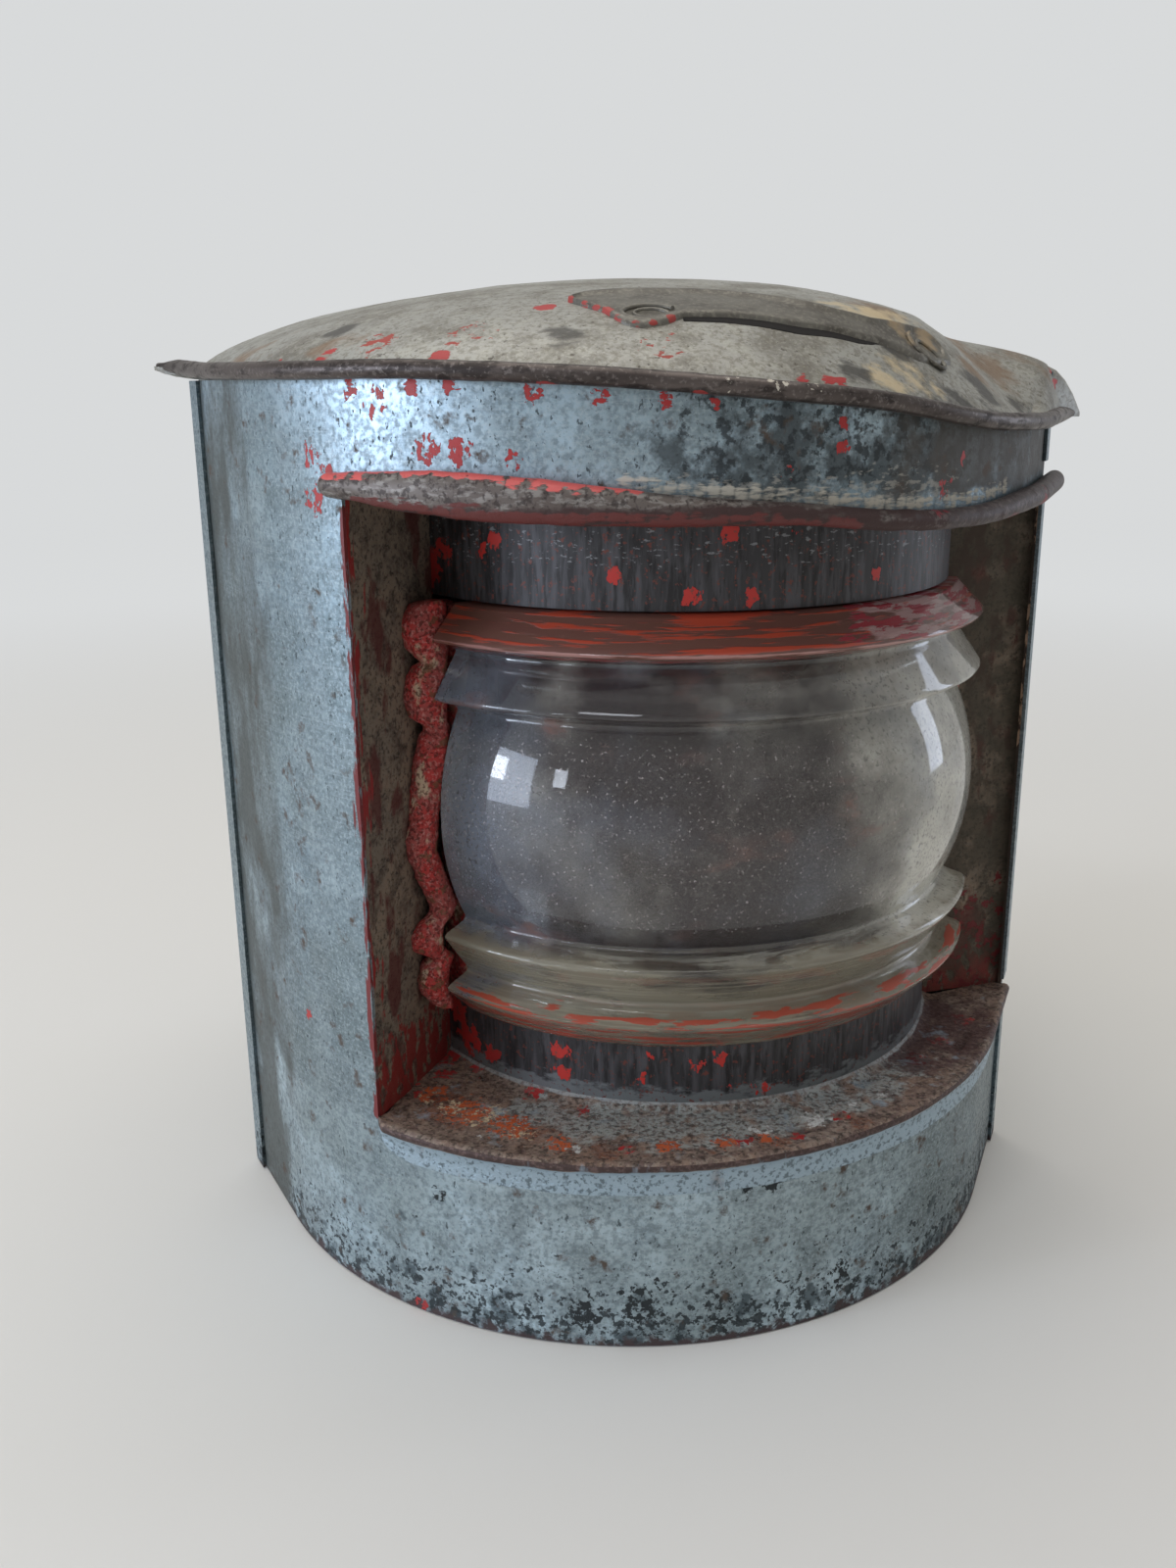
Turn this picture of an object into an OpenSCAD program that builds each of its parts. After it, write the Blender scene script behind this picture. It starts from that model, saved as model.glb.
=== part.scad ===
// Oil-burning port side lamp for a ship: galvanised sheet case with a round front and
// two flat backs, a recessed ring lens, a hinged pillow-shaped lid and an oil burner inside.
// Millimetres. Z is up, -Y is the front, +X is the viewer's right.
// The origin is under the axis of the round front, on the bottom of the base.

/* [Case] */
// Radius of the round front of the case
front_r = 110; // [104:1:116]
// Half of the angle that the round front covers
front_half_angle = 64; // [60:1:68]
// Distance from the lamp's axis to each flat back sheet
back_d = 71; // [68:1:76]
// Height of the case from base to rim
case_h = 231; // [227:1:236]
// Thickness of the case sheets
sheet_t = 1; // [0.8:0.1:1.2]
// Width of the strips of the back sheet that lap over the front sheet
lap_w = 7; // [5:0.5:9]
// Height of the upturned edge of the floor plate
floor_edge_h = 8; // [6:1:12]
// Diameter of the air holes in the back sheets
air_hole_d = 6; // [4:0.5:8]
// Distance between neighbouring air holes
air_hole_step = 11; // [10:0.5:13]

/* [Recess] */
// Height of the shelf that closes the recess below
shelf_z = 52; // [46:1:58]
// Height of the hood's lower edge above the recess
hood_z = 201.2; // [199:0.2:203]
// Direction, left of straight ahead, of the recess's left edge
recess_left_angle = 39; // [36:1:42]
// Width of front sheet that is left beside the right corner
corner_strip_w = 4; // [3:0.5:6]
// Height of the front sheet's edge above the hood's lower edge
hood_front_rise = 3.2; // [2.8:0.1:3.6]
// Radius of the rolled edge of the hood
hood_roll_r = 2.8; // [2.2:0.1:3.2]
// Radius of the wire inside the hood's rolled edge
hood_wire_r = 1.6; // [1:0.1:1.8]
// How far the shelf's lap hangs down over the base
shelf_lap_h = 9; // [6:0.5:12]
// Radius of the shelf's rolled edge
shelf_roll_r = 1.5; // [1.2:0.1:1.8]
// Width of the shelf inside the lens collar
shelf_ledge_w = 17; // [16:0.5:18]

/* [Lens] */
// Distance of the flame and lens axis to the right of the case's axis
lens_x = 12; // [9:0.5:14]
// Distance of the flame and lens axis in front of the case's axis
lens_front = 10; // [8:0.5:12]
// Height of the middle of the lens
lens_mid_z = 124.5; // [122:0.5:127]
// Outer radius of the bands that hold the lens
collar_r = 76; // [75:0.5:77]
// Outer radius of the glass at its ends and between its rings
glass_r = 78; // [77.5:0.5:79]
// Inner radius of the glass
glass_in_r = 71; // [70.5:0.5:72]
// Outer radius of the lens's middle belt
belt_r = 85.5; // [84:0.5:87]
// Height of the middle belt
belt_h = 56.6; // [54:0.2:58]
// Outer radius at the crests of the ring prisms
crest_r = 86.5; // [85:0.5:88]
// Height of each ring prism next to the belt
ring_a_h = 14.6; // [13.6:0.2:15.6]
// Height of each ring prism at the ends of the lens
ring_b_h = 11.3; // [10.5:0.1:12]
// How far each crest stands beyond the foot of its prism
crest_rise = 2.5; // [1.5:0.1:3.5]
// Direction, left of straight ahead, of the lens's left end
lens_left_angle = 48; // [46:1:50]
// Direction, right of straight ahead, of the lens's right end
lens_right_angle = 74; // [72:1:75]
// Direction of the left ends of the lens bands
collar_left_angle = 58; // [56:1:60]
// Direction of the right ends of the lens bands
collar_right_angle = 80; // [78:1:82]
// Height of the lens bands' upstands behind the glass
upstand_h = 8; // [5:0.5:11]

/* [Red filter] */
// Inner radius of the red glass behind the lens
filter_r = 63; // [62:0.5:64]
// Thickness of the red glass
filter_t = 2.5; // [2:0.1:3]
// Height of the frame around the red glass
filter_frame_h = 136; // [130:1:140]
// Depth of the grooves that hold the red glass
filter_groove = 5; // [4:0.5:7]

/* [Reflector] */
// Radius of curvature of the reflector
reflector_r = 60; // [57:0.5:60]
// Radius of the reflector's rim
reflector_rim_r = 45; // [40:1:47]
// Thickness of the reflector
reflector_t = 0.8; // [0.6:0.1:1]
// Height of the strip that carries the reflector
bracket_h = 14; // [10:1:18]
// Length of each end of the strip that lies on a back sheet
bracket_foot = 14; // [10:1:18]
// Radius of the rivet's shank
reflector_rivet_r = 2; // [1.5:0.1:2.5]

/* [Font] */
// Outer radius of the oil font
font_r = 38; // [35:0.5:38.5]
// Height of the oil font
font_h = 60; // [56:1:62]
// Thickness of the font's walls
font_t = 0.8; // [0.6:0.1:1]
// Outer radius of the font's burner neck
neck_r = 15; // [14:0.5:15.5]
// Height of both necks of the font
neck_h = 4; // [3:0.5:5]
// Thickness of both necks of the font
neck_t = 1.5; // [1:0.1:1.8]
// Distance of the filler neck from the burner's axis
filler_d = 27; // [26.5:0.1:28]
// Outer radius of the filler neck
filler_r = 7.5; // [7:0.1:7.6]
// Height of the ring that locates the font
socket_ring_h = 10; // [8:1:14]

/* [Burner] */
// Outer radius of the burner's basket
basket_r = 16; // [15.5:0.1:16.5]
// Height of the burner's basket
basket_h = 26; // [24:0.5:28]
// Width of the wick
wick_w = 17; // [15:0.5:17]
// Thickness of the wick
wick_t = 2.4; // [2:0.1:2.6]
// How far the wick stands out of its tube
wick_show = 1.5; // [1:0.1:2]
// Height of the wick tube above the basket
wick_tube_rise = 14; // [12:0.5:15]
// Radius of the spindle that raises the wick
spindle_r = 1.2; // [1:0.1:1.4]
// Radius of the toothed wheels on the spindle
spur_r = 4.2; // [3.8:0.1:4.4]
// Number of teeth on each wheel
spur_teeth = 8; // [6:1:12]
// Radius of the wick knob
knob_r = 7; // [6:0.5:8]
// Length of the spindle outside the basket
spindle_reach = 15; // [13:0.5:16]
// Outer radius of the burner's dome
dome_r = 17.5; // [17:0.1:18]
// Length of the flame slot in the dome
slot_l = 23; // [22:0.5:24]
// Width of the flame slot in the dome
slot_w = 7; // [6:0.5:9]

/* [Lid] */
// Distance from the case wall to the middle of the lid's rolled edge
lid_roll_off = 4; // [3.6:0.1:4.6]
// Overhang of the lid's edge over the back sheets
lid_back_over = 12; // [11:0.5:13]
// Overhang of the lid's flat corners over the flanks
lid_corner_over = 7.5; // [6.5:0.5:8]
// Length of the flat corners beside the rolled edge
lid_corner_l = 9; // [6:0.5:12]
// Radius of the lid's rolled edge
lid_roll_r = 2; // [1.8:0.1:2.2]
// Radius of the wire inside the lid's rolled edge
lid_wire_r = 1.1; // [0.8:0.1:1.2]
// Rise of the lid's pillow above its flange
pillow_h = 23.5; // [20:0.5:28]
// Fullness of the pillow's edge, where a smaller number is fuller
pillow_power = 0.65; // [0.5:0.05:0.8]
// Depth of the lid's inner skirt
skirt_h = 8; // [6:0.5:10]
// Distance between the case wall and the skirt
skirt_gap = 2.4; // [2.2:0.1:3]
// Radius of the heat baffle under the lid
baffle_r = 48; // [40:1:52]
// Height of the heat baffle above the flange
baffle_rise = 8; // [6:0.5:10]

/* [Banner] */
// Radius of the middle line of the bare banner plate
banner_r = 89; // [86:0.5:92]
// Width of the banner plate
banner_w = 13; // [11:0.5:15]
// Direction of the banner's left end
banner_left = -12; // [-16:1:-8]
// Direction of the banner's right end
banner_right = 40; // [36:1:44]
// How far the banner's middle bows towards the lamp's axis
banner_bow = 3; // [0:0.5:5]
// Thickness of the banner plate
banner_t = 1.2; // [1:0.1:1.6]
// Height of the raised border on the banner plate
border_t = 0.6; // [0.4:0.1:0.8]

/* [Hinge] */
// Distance of the hinge axis behind the back sheet
hinge_out = 5; // [4.9:0.1:5.3]
// Distance of the hinge axis below the rim
hinge_drop = 4.5; // [4.4:0.1:4.8]
// Radius of the hinge knuckles
knuckle_r = 2.9; // [2.7:0.1:3]
// Radius of the hinge pin
pin_r = 1.5; // [1.3:0.1:1.7]
// Length of the hinge
hinge_l = 60; // [50:1:66]
// Place of the hinge's middle along its back sheet
hinge_mid = -10; // [-16:1:-4]
// Height of the hinge's leaf on the case
case_leaf_h = 26; // [22:1:30]
// Thickness of the hinge leaves
leaf_t = 1.2; // [1:0.1:1.2]
// Distance of the outer rivets from the ends of the hinge
hinge_rivet_in = 8; // [6:0.5:11]

/* [Mounting socket] */
// Width of the flat bracket that the socket takes
socket_w = 44; // [38:1:50]
// Depth of the socket for the flat bracket
socket_d = 6.5; // [5.5:0.1:6.8]
// Height of the socket
socket_h = 70; // [60:1:80]
// Height of the socket's lower edge
socket_z = 92; // [84:1:100]
// Thickness of the socket's sheet
socket_t = 1.5; // [1.2:0.1:1.8]
// Width of the socket's riveted sides
socket_side_w = 12; // [11:0.5:14]
// Distance of the socket's rivets from its lower and upper edge
socket_rivet_in = 12; // [6:1:16]

/* [Clearances] */
// Gap between parts that move past each other
run_gap = 0.3; // [0.25:0.05:0.4]
// Gap between a part and the seat that carries it
seat_gap = 0.3; // [0.2:0.05:0.4]
// Radial gap of pins and shafts in their holes
pin_gap = 0.05; // [0.03:0.01:0.08]
// Radius of the rivet shanks
rivet_r = 1.5; // [1.2:0.1:1.6]
// Radius of the rivet heads
rivet_head_r = 2.8; // [2.4:0.1:3]
// Radius of the shanks of the lid leaf's rivets
lid_rivet_r = 1.2; // [1:0.1:1.3]
// Height of the rivet heads
rivet_head_h = 1.1; // [0.8:0.1:1.4]

/* [Hidden] */
$fn = 96;
roll_fn = 48;
roll_flat = 0.8;                // where the flat of a rolled edge lies, as a share of its radius
roll_relief_r = 1;              // radius of the sheet's relief at the ends of the round front
roll_bite = 0.2;                // how far a sheet reaches into the wall of its rolled edge
far = 3*front_r;                // beyond everything in plan
zinc = [0.50, 0.54, 0.57];
dark_zinc = [0.30, 0.30, 0.31];
rust = [0.38, 0.25, 0.20];
red_paint = [0.68, 0.16, 0.13];
clear_glass = [0.62, 0.64, 0.60];
ruby = [0.45, 0.05, 0.07];
brass = [0.62, 0.50, 0.26];
tin = [0.66, 0.66, 0.63];

// Plan of the case. Directions are counted from straight ahead, positive to the right.
function ahead(a) = [sin(a), -cos(a)];
function along(a) = [cos(a), sin(a)];
function tangent_pt(d) = (front_r + d)*ahead(front_half_angle);
// Corner between a flank, moved out by d, and a back sheet, moved out by e
function corner_x(d, e) = (front_r + d + sqrt(2)*(back_d + e)*cos(front_half_angle))
    /(sin(front_half_angle) + cos(front_half_angle));
function corner(d, e) = [corner_x(d, e), sqrt(2)*(back_d + e) - corner_x(d, e)];
function mirror_x(p) = [-p[0], p[1]];
function apex(e) = [0, sqrt(2)*(back_d + e)];
corner_angle = atan2(corner(0, 0)[0], -corner(0, 0)[1]);

// Lens
lens_c = [lens_x, -lens_front];
lens_h = belt_h + 2*ring_a_h + 2*ring_b_h;
lens_bottom_z = lens_mid_z - lens_h/2;
lens_top_z = lens_mid_z + lens_h/2;
function lens_pt(r, a) = lens_c + r*ahead(a);
belt_step = 0.3;                // the belt ends a little outside the feet of the prisms
belt_bulge = belt_r - glass_r - belt_step;
belt_arc_r = (belt_h*belt_h/4 + belt_bulge*belt_bulge)/(2*belt_bulge);
lower_ledge_z = lens_bottom_z - seat_gap;
upper_ledge_z = lens_top_z + seat_gap;
upstand_r = glass_in_r - seat_gap;

// Screens at the two sides of the recess: their inner ends and their outer ends
left_in = lens_pt(collar_r, -collar_left_angle);
left_out = (front_r - sheet_t)*ahead(-recess_left_angle);
left_dir = (left_out - left_in)/norm(left_out - left_in);
right_in = lens_pt(collar_r, collar_right_angle);
right_out = corner(-sheet_t, -sheet_t) - corner_strip_w/2*along(front_half_angle);
right_dir = (right_out - right_in)/norm(right_out - right_in);
band_z = hood_z + hood_front_rise;

// Font and burner
font_z = sheet_t + seat_gap;
font_top_z = font_z + font_h;
basket_z = font_top_z + neck_h;
gallery_z = basket_z + basket_h;
tube_top_z = gallery_z + wick_tube_rise;
wick_top_z = tube_top_z + wick_show;
wick_bottom_z = font_z + font_t + 7;
tube_t = 0.8;
tube_gap = 0.3;
spindle_y = -(wick_t/2 + spur_r + 0.15);
spindle_z = basket_z + 0.5*basket_h;
filler_c = lens_c + filler_d*[-sqrt(0.5), sqrt(0.5)];
cap_r = filler_r + 2;
gasket_t = 1.5;
gallery_r = dome_r + 2.5;
gallery_t = 1.2;
dome_t = 0.8;
dome_foot_z = gallery_z + gallery_t + run_gap;
dome_mid_z = dome_foot_z + 2.5;
dome_pin_r = 0.8;
dome_knuckle_r = 1.8;
dome_pin_x = -(dome_r + 2.5);
dome_pin_z = dome_mid_z;
dome_knuckle_l = 8;
ear_t = 1.6;

// Lid
flange_z = case_h + run_gap;
flange_top_z = flange_z + sheet_t;
lid_roll_z = flange_top_z + 0.1;
pillow_rings = 12;
pillow_arc_steps = 24;
pillow_side_steps = 7;
axis_x = back_d + hinge_out;
axis_z = case_h - hinge_drop;
knuckles = 5;
knuckle_step = hinge_l/knuckles;
socket_side_y = socket_w/2 + socket_t + socket_side_w/2;

module wedge() {
    a = front_half_angle;
    polygon([[0, 0], far*ahead(a), [far*sin(a), -far], [-far*sin(a), -far], far*ahead(-a)]);
}

// Case outline moved out by d at the front and flanks and by e at the back sheets
module outline(d, e) {
    intersection() {
        circle(r = front_r + d);
        wedge();
    }
    polygon([tangent_pt(d), corner(d, e), apex(e), mirror_x(corner(d, e)),
        mirror_x(tangent_pt(d)), [0, -front_r/2]]);
}

module shell(d0, d1) {
    difference() {
        outline(d0, d0);
        outline(d1, d1);
    }
}

// Plan of the front sheet: the round front and both flanks, up to the back sheets
module front_band() {
    back = apex(-sheet_t);
    difference() {
        outline(0, 0);
        outline(-sheet_t, -sheet_t);
        polygon([back, back + [far, -far], [far, 2*far], [-far, 2*far], back - [far, far]]);
    }
}

// Plan of the back sheets, bent at the apex, with the strips that lap over the flanks
module back_plan() {
    t = sheet_t;
    lap = lap_w*along(front_half_angle);
    right = [corner(t, 0), corner(t, 0) - lap, corner(0, 0) - lap, corner(0, -t)];
    polygon(concat(right, [apex(-t)], [for (i = [3:-1:0]) mirror_x(right[i])], [apex(0)]));
}

// Plan of a cut through the right lap
module lap_cut_plan() {
    d = -0.05*sheet_t;
    p = corner(d, 5*sheet_t);
    q = corner(d, 0) - 2*lap_w*along(front_half_angle);
    out = 5*sheet_t*ahead(front_half_angle);
    polygon([p, q, q + out, p + out]);
}

// Plan of the recess, between the two screens
module recess_plan() {
    strip = corner(0, 0) - corner_strip_w*along(front_half_angle);
    polygon([lens_c, left_in, left_out, left_out + far/2*left_dir, [-far, -far], [far, -far],
        strip + far/2*ahead(front_half_angle), strip - sheet_t*ahead(front_half_angle),
        right_out, right_in]);
}

// Plan of the window in the front sheet
module window_plan() {
    strip = corner(0, 0) - corner_strip_w*along(front_half_angle);
    polygon([[0, 0], far*ahead(-recess_left_angle), [far, -far],
        strip + far/2*ahead(front_half_angle), strip - 4*sheet_t*ahead(front_half_angle)]);
}

// Part of a turned shape between two directions
module turned(a0, a1) {
    rotate([0, 0, a0 - 90]) rotate_extrude(angle = a1 - a0) children();
}

module at_lens(z = 0) {
    translate([lens_c[0], lens_c[1], z]) children();
}

// Section swept along the case's edge at the offset d, from the direction a0 to the end of
// the round front and on along the right flank
module edge_sweep(d, z, a0, flank) {
    translate([0, 0, z]) {
        turned(a0, front_half_angle) translate([front_r + d, 0]) children();
        translate([tangent_pt(d)[0], tangent_pt(d)[1], 0]) rotate([90, 0, front_half_angle + 90])
            linear_extrude(flank) mirror([1, 0]) children();
    }
}

// Section swept along the left flank, to the left end of a sweep along the round front
module left_flank_sweep(d, z, flank) {
    mirror([1, 0, 0]) translate([tangent_pt(d)[0], tangent_pt(d)[1], z])
        rotate([90, 0, front_half_angle + 90]) linear_extrude(flank) mirror([1, 0]) children();
}

// Section of a rolled edge round its wire, flat on the side where its sheet comes in
module roll_section(r, hole) {
    difference() {
        intersection() {
            circle(r = r, $fn = roll_fn);
            translate([-roll_flat*r, -r]) square([2*r, 2*r]);
        }
        circle(r = hole, $fn = roll_fn);
    }
}

// Plan of a sheet that reaches into the wall of its rolled edge, whose flat is at the offset d.
// It is relieved where the round front runs into the flanks.
module sheet_to_roll_plan(d, e) {
    difference() {
        outline(d + roll_bite, e);
        for (m = [0, 1]) mirror([m, 0]) translate(tangent_pt(d)) circle(r = roll_relief_r, $fn = 24);
    }
}

// Local frame of a back sheet: X points out of it, Y runs along it
module on_right_back() {
    rotate([0, 0, 45]) children();
}

module on_left_back() {
    rotate([0, 0, 135]) children();
}

// Rivet along X through sheets from x0 to x1
module rivet(x0, x1) {
    rotate([0, 90, 0]) {
        translate([0, 0, x0]) cylinder(r = rivet_r, h = x1 - x0);
        translate([0, 0, x1]) cylinder(r = rivet_head_r, h = rivet_head_h);
        translate([0, 0, x0 - rivet_head_h]) cylinder(r = rivet_head_r, h = rivet_head_h);
    }
}

module rivet_hole(x0, x1) {
    translate([x0 - 1, 0, 0]) rotate([0, 90, 0]) cylinder(r = rivet_r + pin_gap, h = x1 - x0 + 2);
}

// Curved front of the case with the window of the recess
module front_sheet() {
    color(zinc) difference() {
        linear_extrude(case_h) front_band();
        translate([0, 0, shelf_z - sheet_t]) linear_extrude(band_z - shelf_z + sheet_t)
            window_plan();
    }
}

// Rows of air holes through one back sheet
module air_holes(z, y0, count) {
    for (i = [0:count - 1])
        translate([back_d - 3*sheet_t, y0 + i*air_hole_step, z]) rotate([0, 90, 0])
            cylinder(d = air_hole_d, h = 6*sheet_t);
}

socket_rivet_z = [socket_z + socket_rivet_in, socket_z + socket_h - socket_rivet_in];
case_rivet_z = axis_z - case_leaf_h + 6;
case_rivet_y = [hinge_mid - hinge_l/2 + hinge_rivet_in, hinge_mid,
    hinge_mid + hinge_l/2 - hinge_rivet_in];
air_low_z = floor_edge_h + air_hole_d + 6;
air_high_z = case_h - skirt_h - air_hole_d;

// Two flat back sheets in one bent piece, lapped over the front sheet at both corners
module back_sheet() {
    lap_cuts = [[shelf_z - shelf_lap_h - 1, shelf_lap_h + 2*shelf_roll_r + 1],
        [hood_z - 1, 2*hood_roll_r + 2]];
    color(zinc) difference() {
        linear_extrude(case_h) back_plan();
        for (c = lap_cuts) translate([0, 0, c[0]]) linear_extrude(c[1]) lap_cut_plan();
        on_right_back() {
            air_holes(air_low_z, hinge_mid - 4*air_hole_step, 8);
            for (y = case_rivet_y) translate([0, y, case_rivet_z])
                rivet_hole(back_d - sheet_t, back_d);
        }
        on_left_back() {
            air_holes(air_low_z, -3.5*air_hole_step, 8);
            air_holes(air_high_z, -3.5*air_hole_step, 8);
            for (z = socket_rivet_z, y = [-socket_side_y, socket_side_y]) translate([0, y, z])
                rivet_hole(back_d - sheet_t, back_d);
        }
    }
}

// Floor plate with an upturned edge soldered inside the case
module base_floor() {
    color(zinc) {
        linear_extrude(sheet_t) outline(-sheet_t, -sheet_t);
        translate([0, 0, sheet_t]) linear_extrude(floor_edge_h - sheet_t)
            shell(-sheet_t, -2*sheet_t);
    }
}

// Section of the shelf's rolled edge with the lap under it
module shelf_roll_section() {
    r = shelf_roll_r;
    intersection() {
        circle(r = r, $fn = roll_fn);
        translate([-roll_flat*r, -r]) square([2*r, 2*r]);
    }
    translate([-roll_flat*r, -shelf_lap_h]) square([sheet_t, shelf_lap_h]);
}

// Floor of the recess, rolled and lapped over the base below it
module shelf_plate() {
    lap_in = 0.2;
    flank = norm(corner(0, 0) - tangent_pt(0)) - 5;
    color(rust) {
        translate([0, 0, shelf_z - sheet_t]) linear_extrude(sheet_t) difference() {
            intersection() {
                sheet_to_roll_plan(lap_in, 0);
                recess_plan();
            }
            translate(lens_c) circle(r = collar_r - shelf_ledge_w);
        }
        edge_sweep(lap_in + roll_flat*shelf_roll_r, shelf_z - 0.5*shelf_roll_r,
            -recess_left_angle + 0.5, flank) shelf_roll_section();
    }
}

hood_roll_z = hood_z + hood_roll_r;
hood_off = hood_roll_r + 0.05;
hood_edge = hood_off - roll_flat*hood_roll_r;
hood_flank = norm(corner(0, 0) - tangent_pt(0)) + 1;
hood_start = -recess_left_angle - 1.5;
hood_hole_r = hood_wire_r + pin_gap;
ceiling_z = hood_roll_z - 0.5*hood_roll_r;

// Ceiling of the recess with its rolled front edge
module recess_hood() {
    color(red_paint) {
        translate([0, 0, ceiling_z]) linear_extrude(sheet_t) difference() {
            intersection() {
                sheet_to_roll_plan(hood_edge, 0);
                recess_plan();
            }
            translate(lens_c) circle(r = collar_r - 2*sheet_t);
        }
        edge_sweep(hood_off, hood_roll_z, hood_start, hood_flank)
            roll_section(hood_roll_r, hood_hole_r);
    }
}

// Wire inside the round part of the hood's rolled edge
module hood_edge_wire() {
    color(dark_zinc) translate([0, 0, hood_roll_z]) turned(hood_start, front_half_angle)
        translate([front_r + hood_off, 0]) circle(r = hood_wire_r, $fn = roll_fn);
}

// Flat wall from p to q, its thickness on the side away from the recess
module screen_wall(p, q, side) {
    dir = (q - p)/norm(q - p);
    out = side*[dir[1], -dir[0]];
    linear_extrude(case_h) polygon([p, q, q + sheet_t*out, p + sheet_t*out]);
}

// Left wall of the recess, with a narrow edge soldered behind the front sheet
module left_screen() {
    color(rust) difference() {
        intersection() {
            union() {
                screen_wall(left_in, left_out + sheet_t*left_dir, 1);
                linear_extrude(case_h) intersection() {
                    shell(-sheet_t, -2*sheet_t);
                    polygon([[0, 0], far*ahead(-recess_left_angle),
                        far*ahead(-recess_left_angle - 4)]);
                }
            }
            linear_extrude(case_h) outline(-sheet_t, -sheet_t);
        }
        translate([-far, -far, -1]) cube([2*far, 2*far, shelf_z + 1]);
        translate([-far, -far, ceiling_z]) cube([2*far, 2*far, case_h]);
    }
}

// Right wall of the recess, out to the corner
module right_screen() {
    color(rust) difference() {
        intersection() {
            screen_wall(right_in, right_out + 2*sheet_t*right_dir, -1);
            linear_extrude(case_h) outline(-sheet_t, -sheet_t);
        }
        translate([-far, -far, -1]) cube([2*far, 2*far, shelf_z + 1]);
        translate([-far, -far, ceiling_z]) cube([2*far, 2*far, case_h]);
    }
}

// Section of a lens band, whose wall runs from the height z0 to the seat of the glass, with an
// upstand behind the glass
module lens_band_section(z0, seat_z) {
    t = sheet_t;
    low_r = min(collar_r, upstand_r) - t;
    translate([0, seat_z]) mirror([0, z0 > seat_z ? 1 : 0]) {
        translate([collar_r - t, -abs(seat_z - z0)]) square([t, abs(seat_z - z0)]);
        translate([low_r, -t]) square([max(collar_r, upstand_r) - low_r, t]);
        translate([upstand_r - t, -t]) square([t, upstand_h + t]);
    }
}

// Band below the glass, which stands on the shelf
module lower_lens_collar() {
    color(dark_zinc) at_lens() turned(-collar_left_angle, collar_right_angle)
        lens_band_section(shelf_z, lower_ledge_z);
}

// Band above the glass, under the hood's ceiling
module upper_lens_collar() {
    color(dark_zinc) at_lens() turned(-collar_left_angle, collar_right_angle)
        lens_band_section(ceiling_z, upper_ledge_z);
}

// Section of one ring prism that starts at the height z and is h high
module prism_section(z, h) {
    polygon([[glass_in_r, z], [glass_r, z], [crest_r, z + crest_rise], [glass_r, z + h],
        [glass_in_r, z + h]]);
}

module lens_section() {
    intersection() {
        translate([belt_r - belt_arc_r, 0]) circle(r = belt_arc_r);
        translate([glass_in_r, -belt_h/2]) square([belt_r, belt_h]);
    }
    for (m = [0, 1]) mirror([0, m]) {
        prism_section(belt_h/2, ring_a_h);
        prism_section(belt_h/2 + ring_a_h, ring_b_h);
    }
}

// Pressed clear lens: a belt between four ring prisms
module fresnel_lens() {
    color(clear_glass) at_lens(lens_mid_z) turned(-lens_left_angle, lens_right_angle)
        lens_section();
}

// Lumps of putty over the ends of the glass: how far each stands out from the glass, its
// height from the lens's middle as a share of half the lens, and its radius
left_lumps = [[2, 0.86, 7], [2.5, 0.57, 7], [1.5, 0.33, 6], [2.5, 0.15, 6], [3, -0.06, 6],
    [2.5, -0.26, 6], [1.5, -0.43, 5.5], [2, -0.62, 6], [2, -0.85, 7]];
right_lumps = [[1, 0.85, 5.5], [2, 0.59, 5.5], [2, 0.31, 5], [2.5, 0.07, 5], [2, -0.18, 5],
    [1.5, -0.4, 5], [1.5, -0.61, 5.5], [1, -0.85, 5.5]];

module seal_section(lumps) {
    for (p = lumps) translate([glass_r + p[0], p[1]*lens_h/2]) circle(r = p[2], $fn = 32);
    translate([glass_in_r + 2, -lens_h/2 + 1]) square([glass_r - glass_in_r - 2, lens_h - 2]);
}

// Putty between the left end of the glass and the left screen
module left_lens_seal() {
    color(red_paint) intersection() {
        at_lens(lens_mid_z) turned(-collar_left_angle, -lens_left_angle - 0.1)
            seal_section(left_lumps);
        linear_extrude(case_h) recess_plan();
    }
}

// Putty between the right end of the glass and the right screen
module right_lens_seal() {
    color(red_paint) intersection() {
        at_lens(lens_mid_z) turned(lens_right_angle + 0.1, collar_right_angle)
            seal_section(right_lumps);
        linear_extrude(case_h) recess_plan();
    }
}

filter_left = collar_left_angle - 8;
filter_right = collar_right_angle - 6;
groove_r0 = filter_r - 0.2;
groove_r1 = filter_r + filter_t + 0.2;
filter_z = shelf_z;

filter_end = 3;                 // half the width of the frame's end channels, in degrees

// Frame with grooves for the red glass, standing on the shelf behind the lens
module filter_frame() {
    track_h = filter_groove + sheet_t;
    w = groove_r1 - groove_r0;
    color(tin) at_lens(filter_z) difference() {
        turned(-filter_left - filter_end, filter_right + filter_end)
            translate([groove_r0 - sheet_t, 0]) square([w + 2*sheet_t, filter_frame_h]);
        turned(-filter_left - 0.3, filter_right + 0.3)
            translate([groove_r0, sheet_t]) square([w, filter_frame_h - 2*sheet_t]);
        turned(-filter_left + filter_end, filter_right - filter_end)
            translate([groove_r0 - 2*sheet_t, track_h])
                square([w + 4*sheet_t, filter_frame_h - 2*track_h]);
    }
}

// Curved ruby glass that colours the light
module red_filter_glass() {
    color(ruby) at_lens(filter_z + sheet_t + 0.1) turned(-filter_left, filter_right)
        translate([filter_r, 0]) square([filter_t, filter_frame_h - 2*sheet_t - 0.2]);
}

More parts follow.
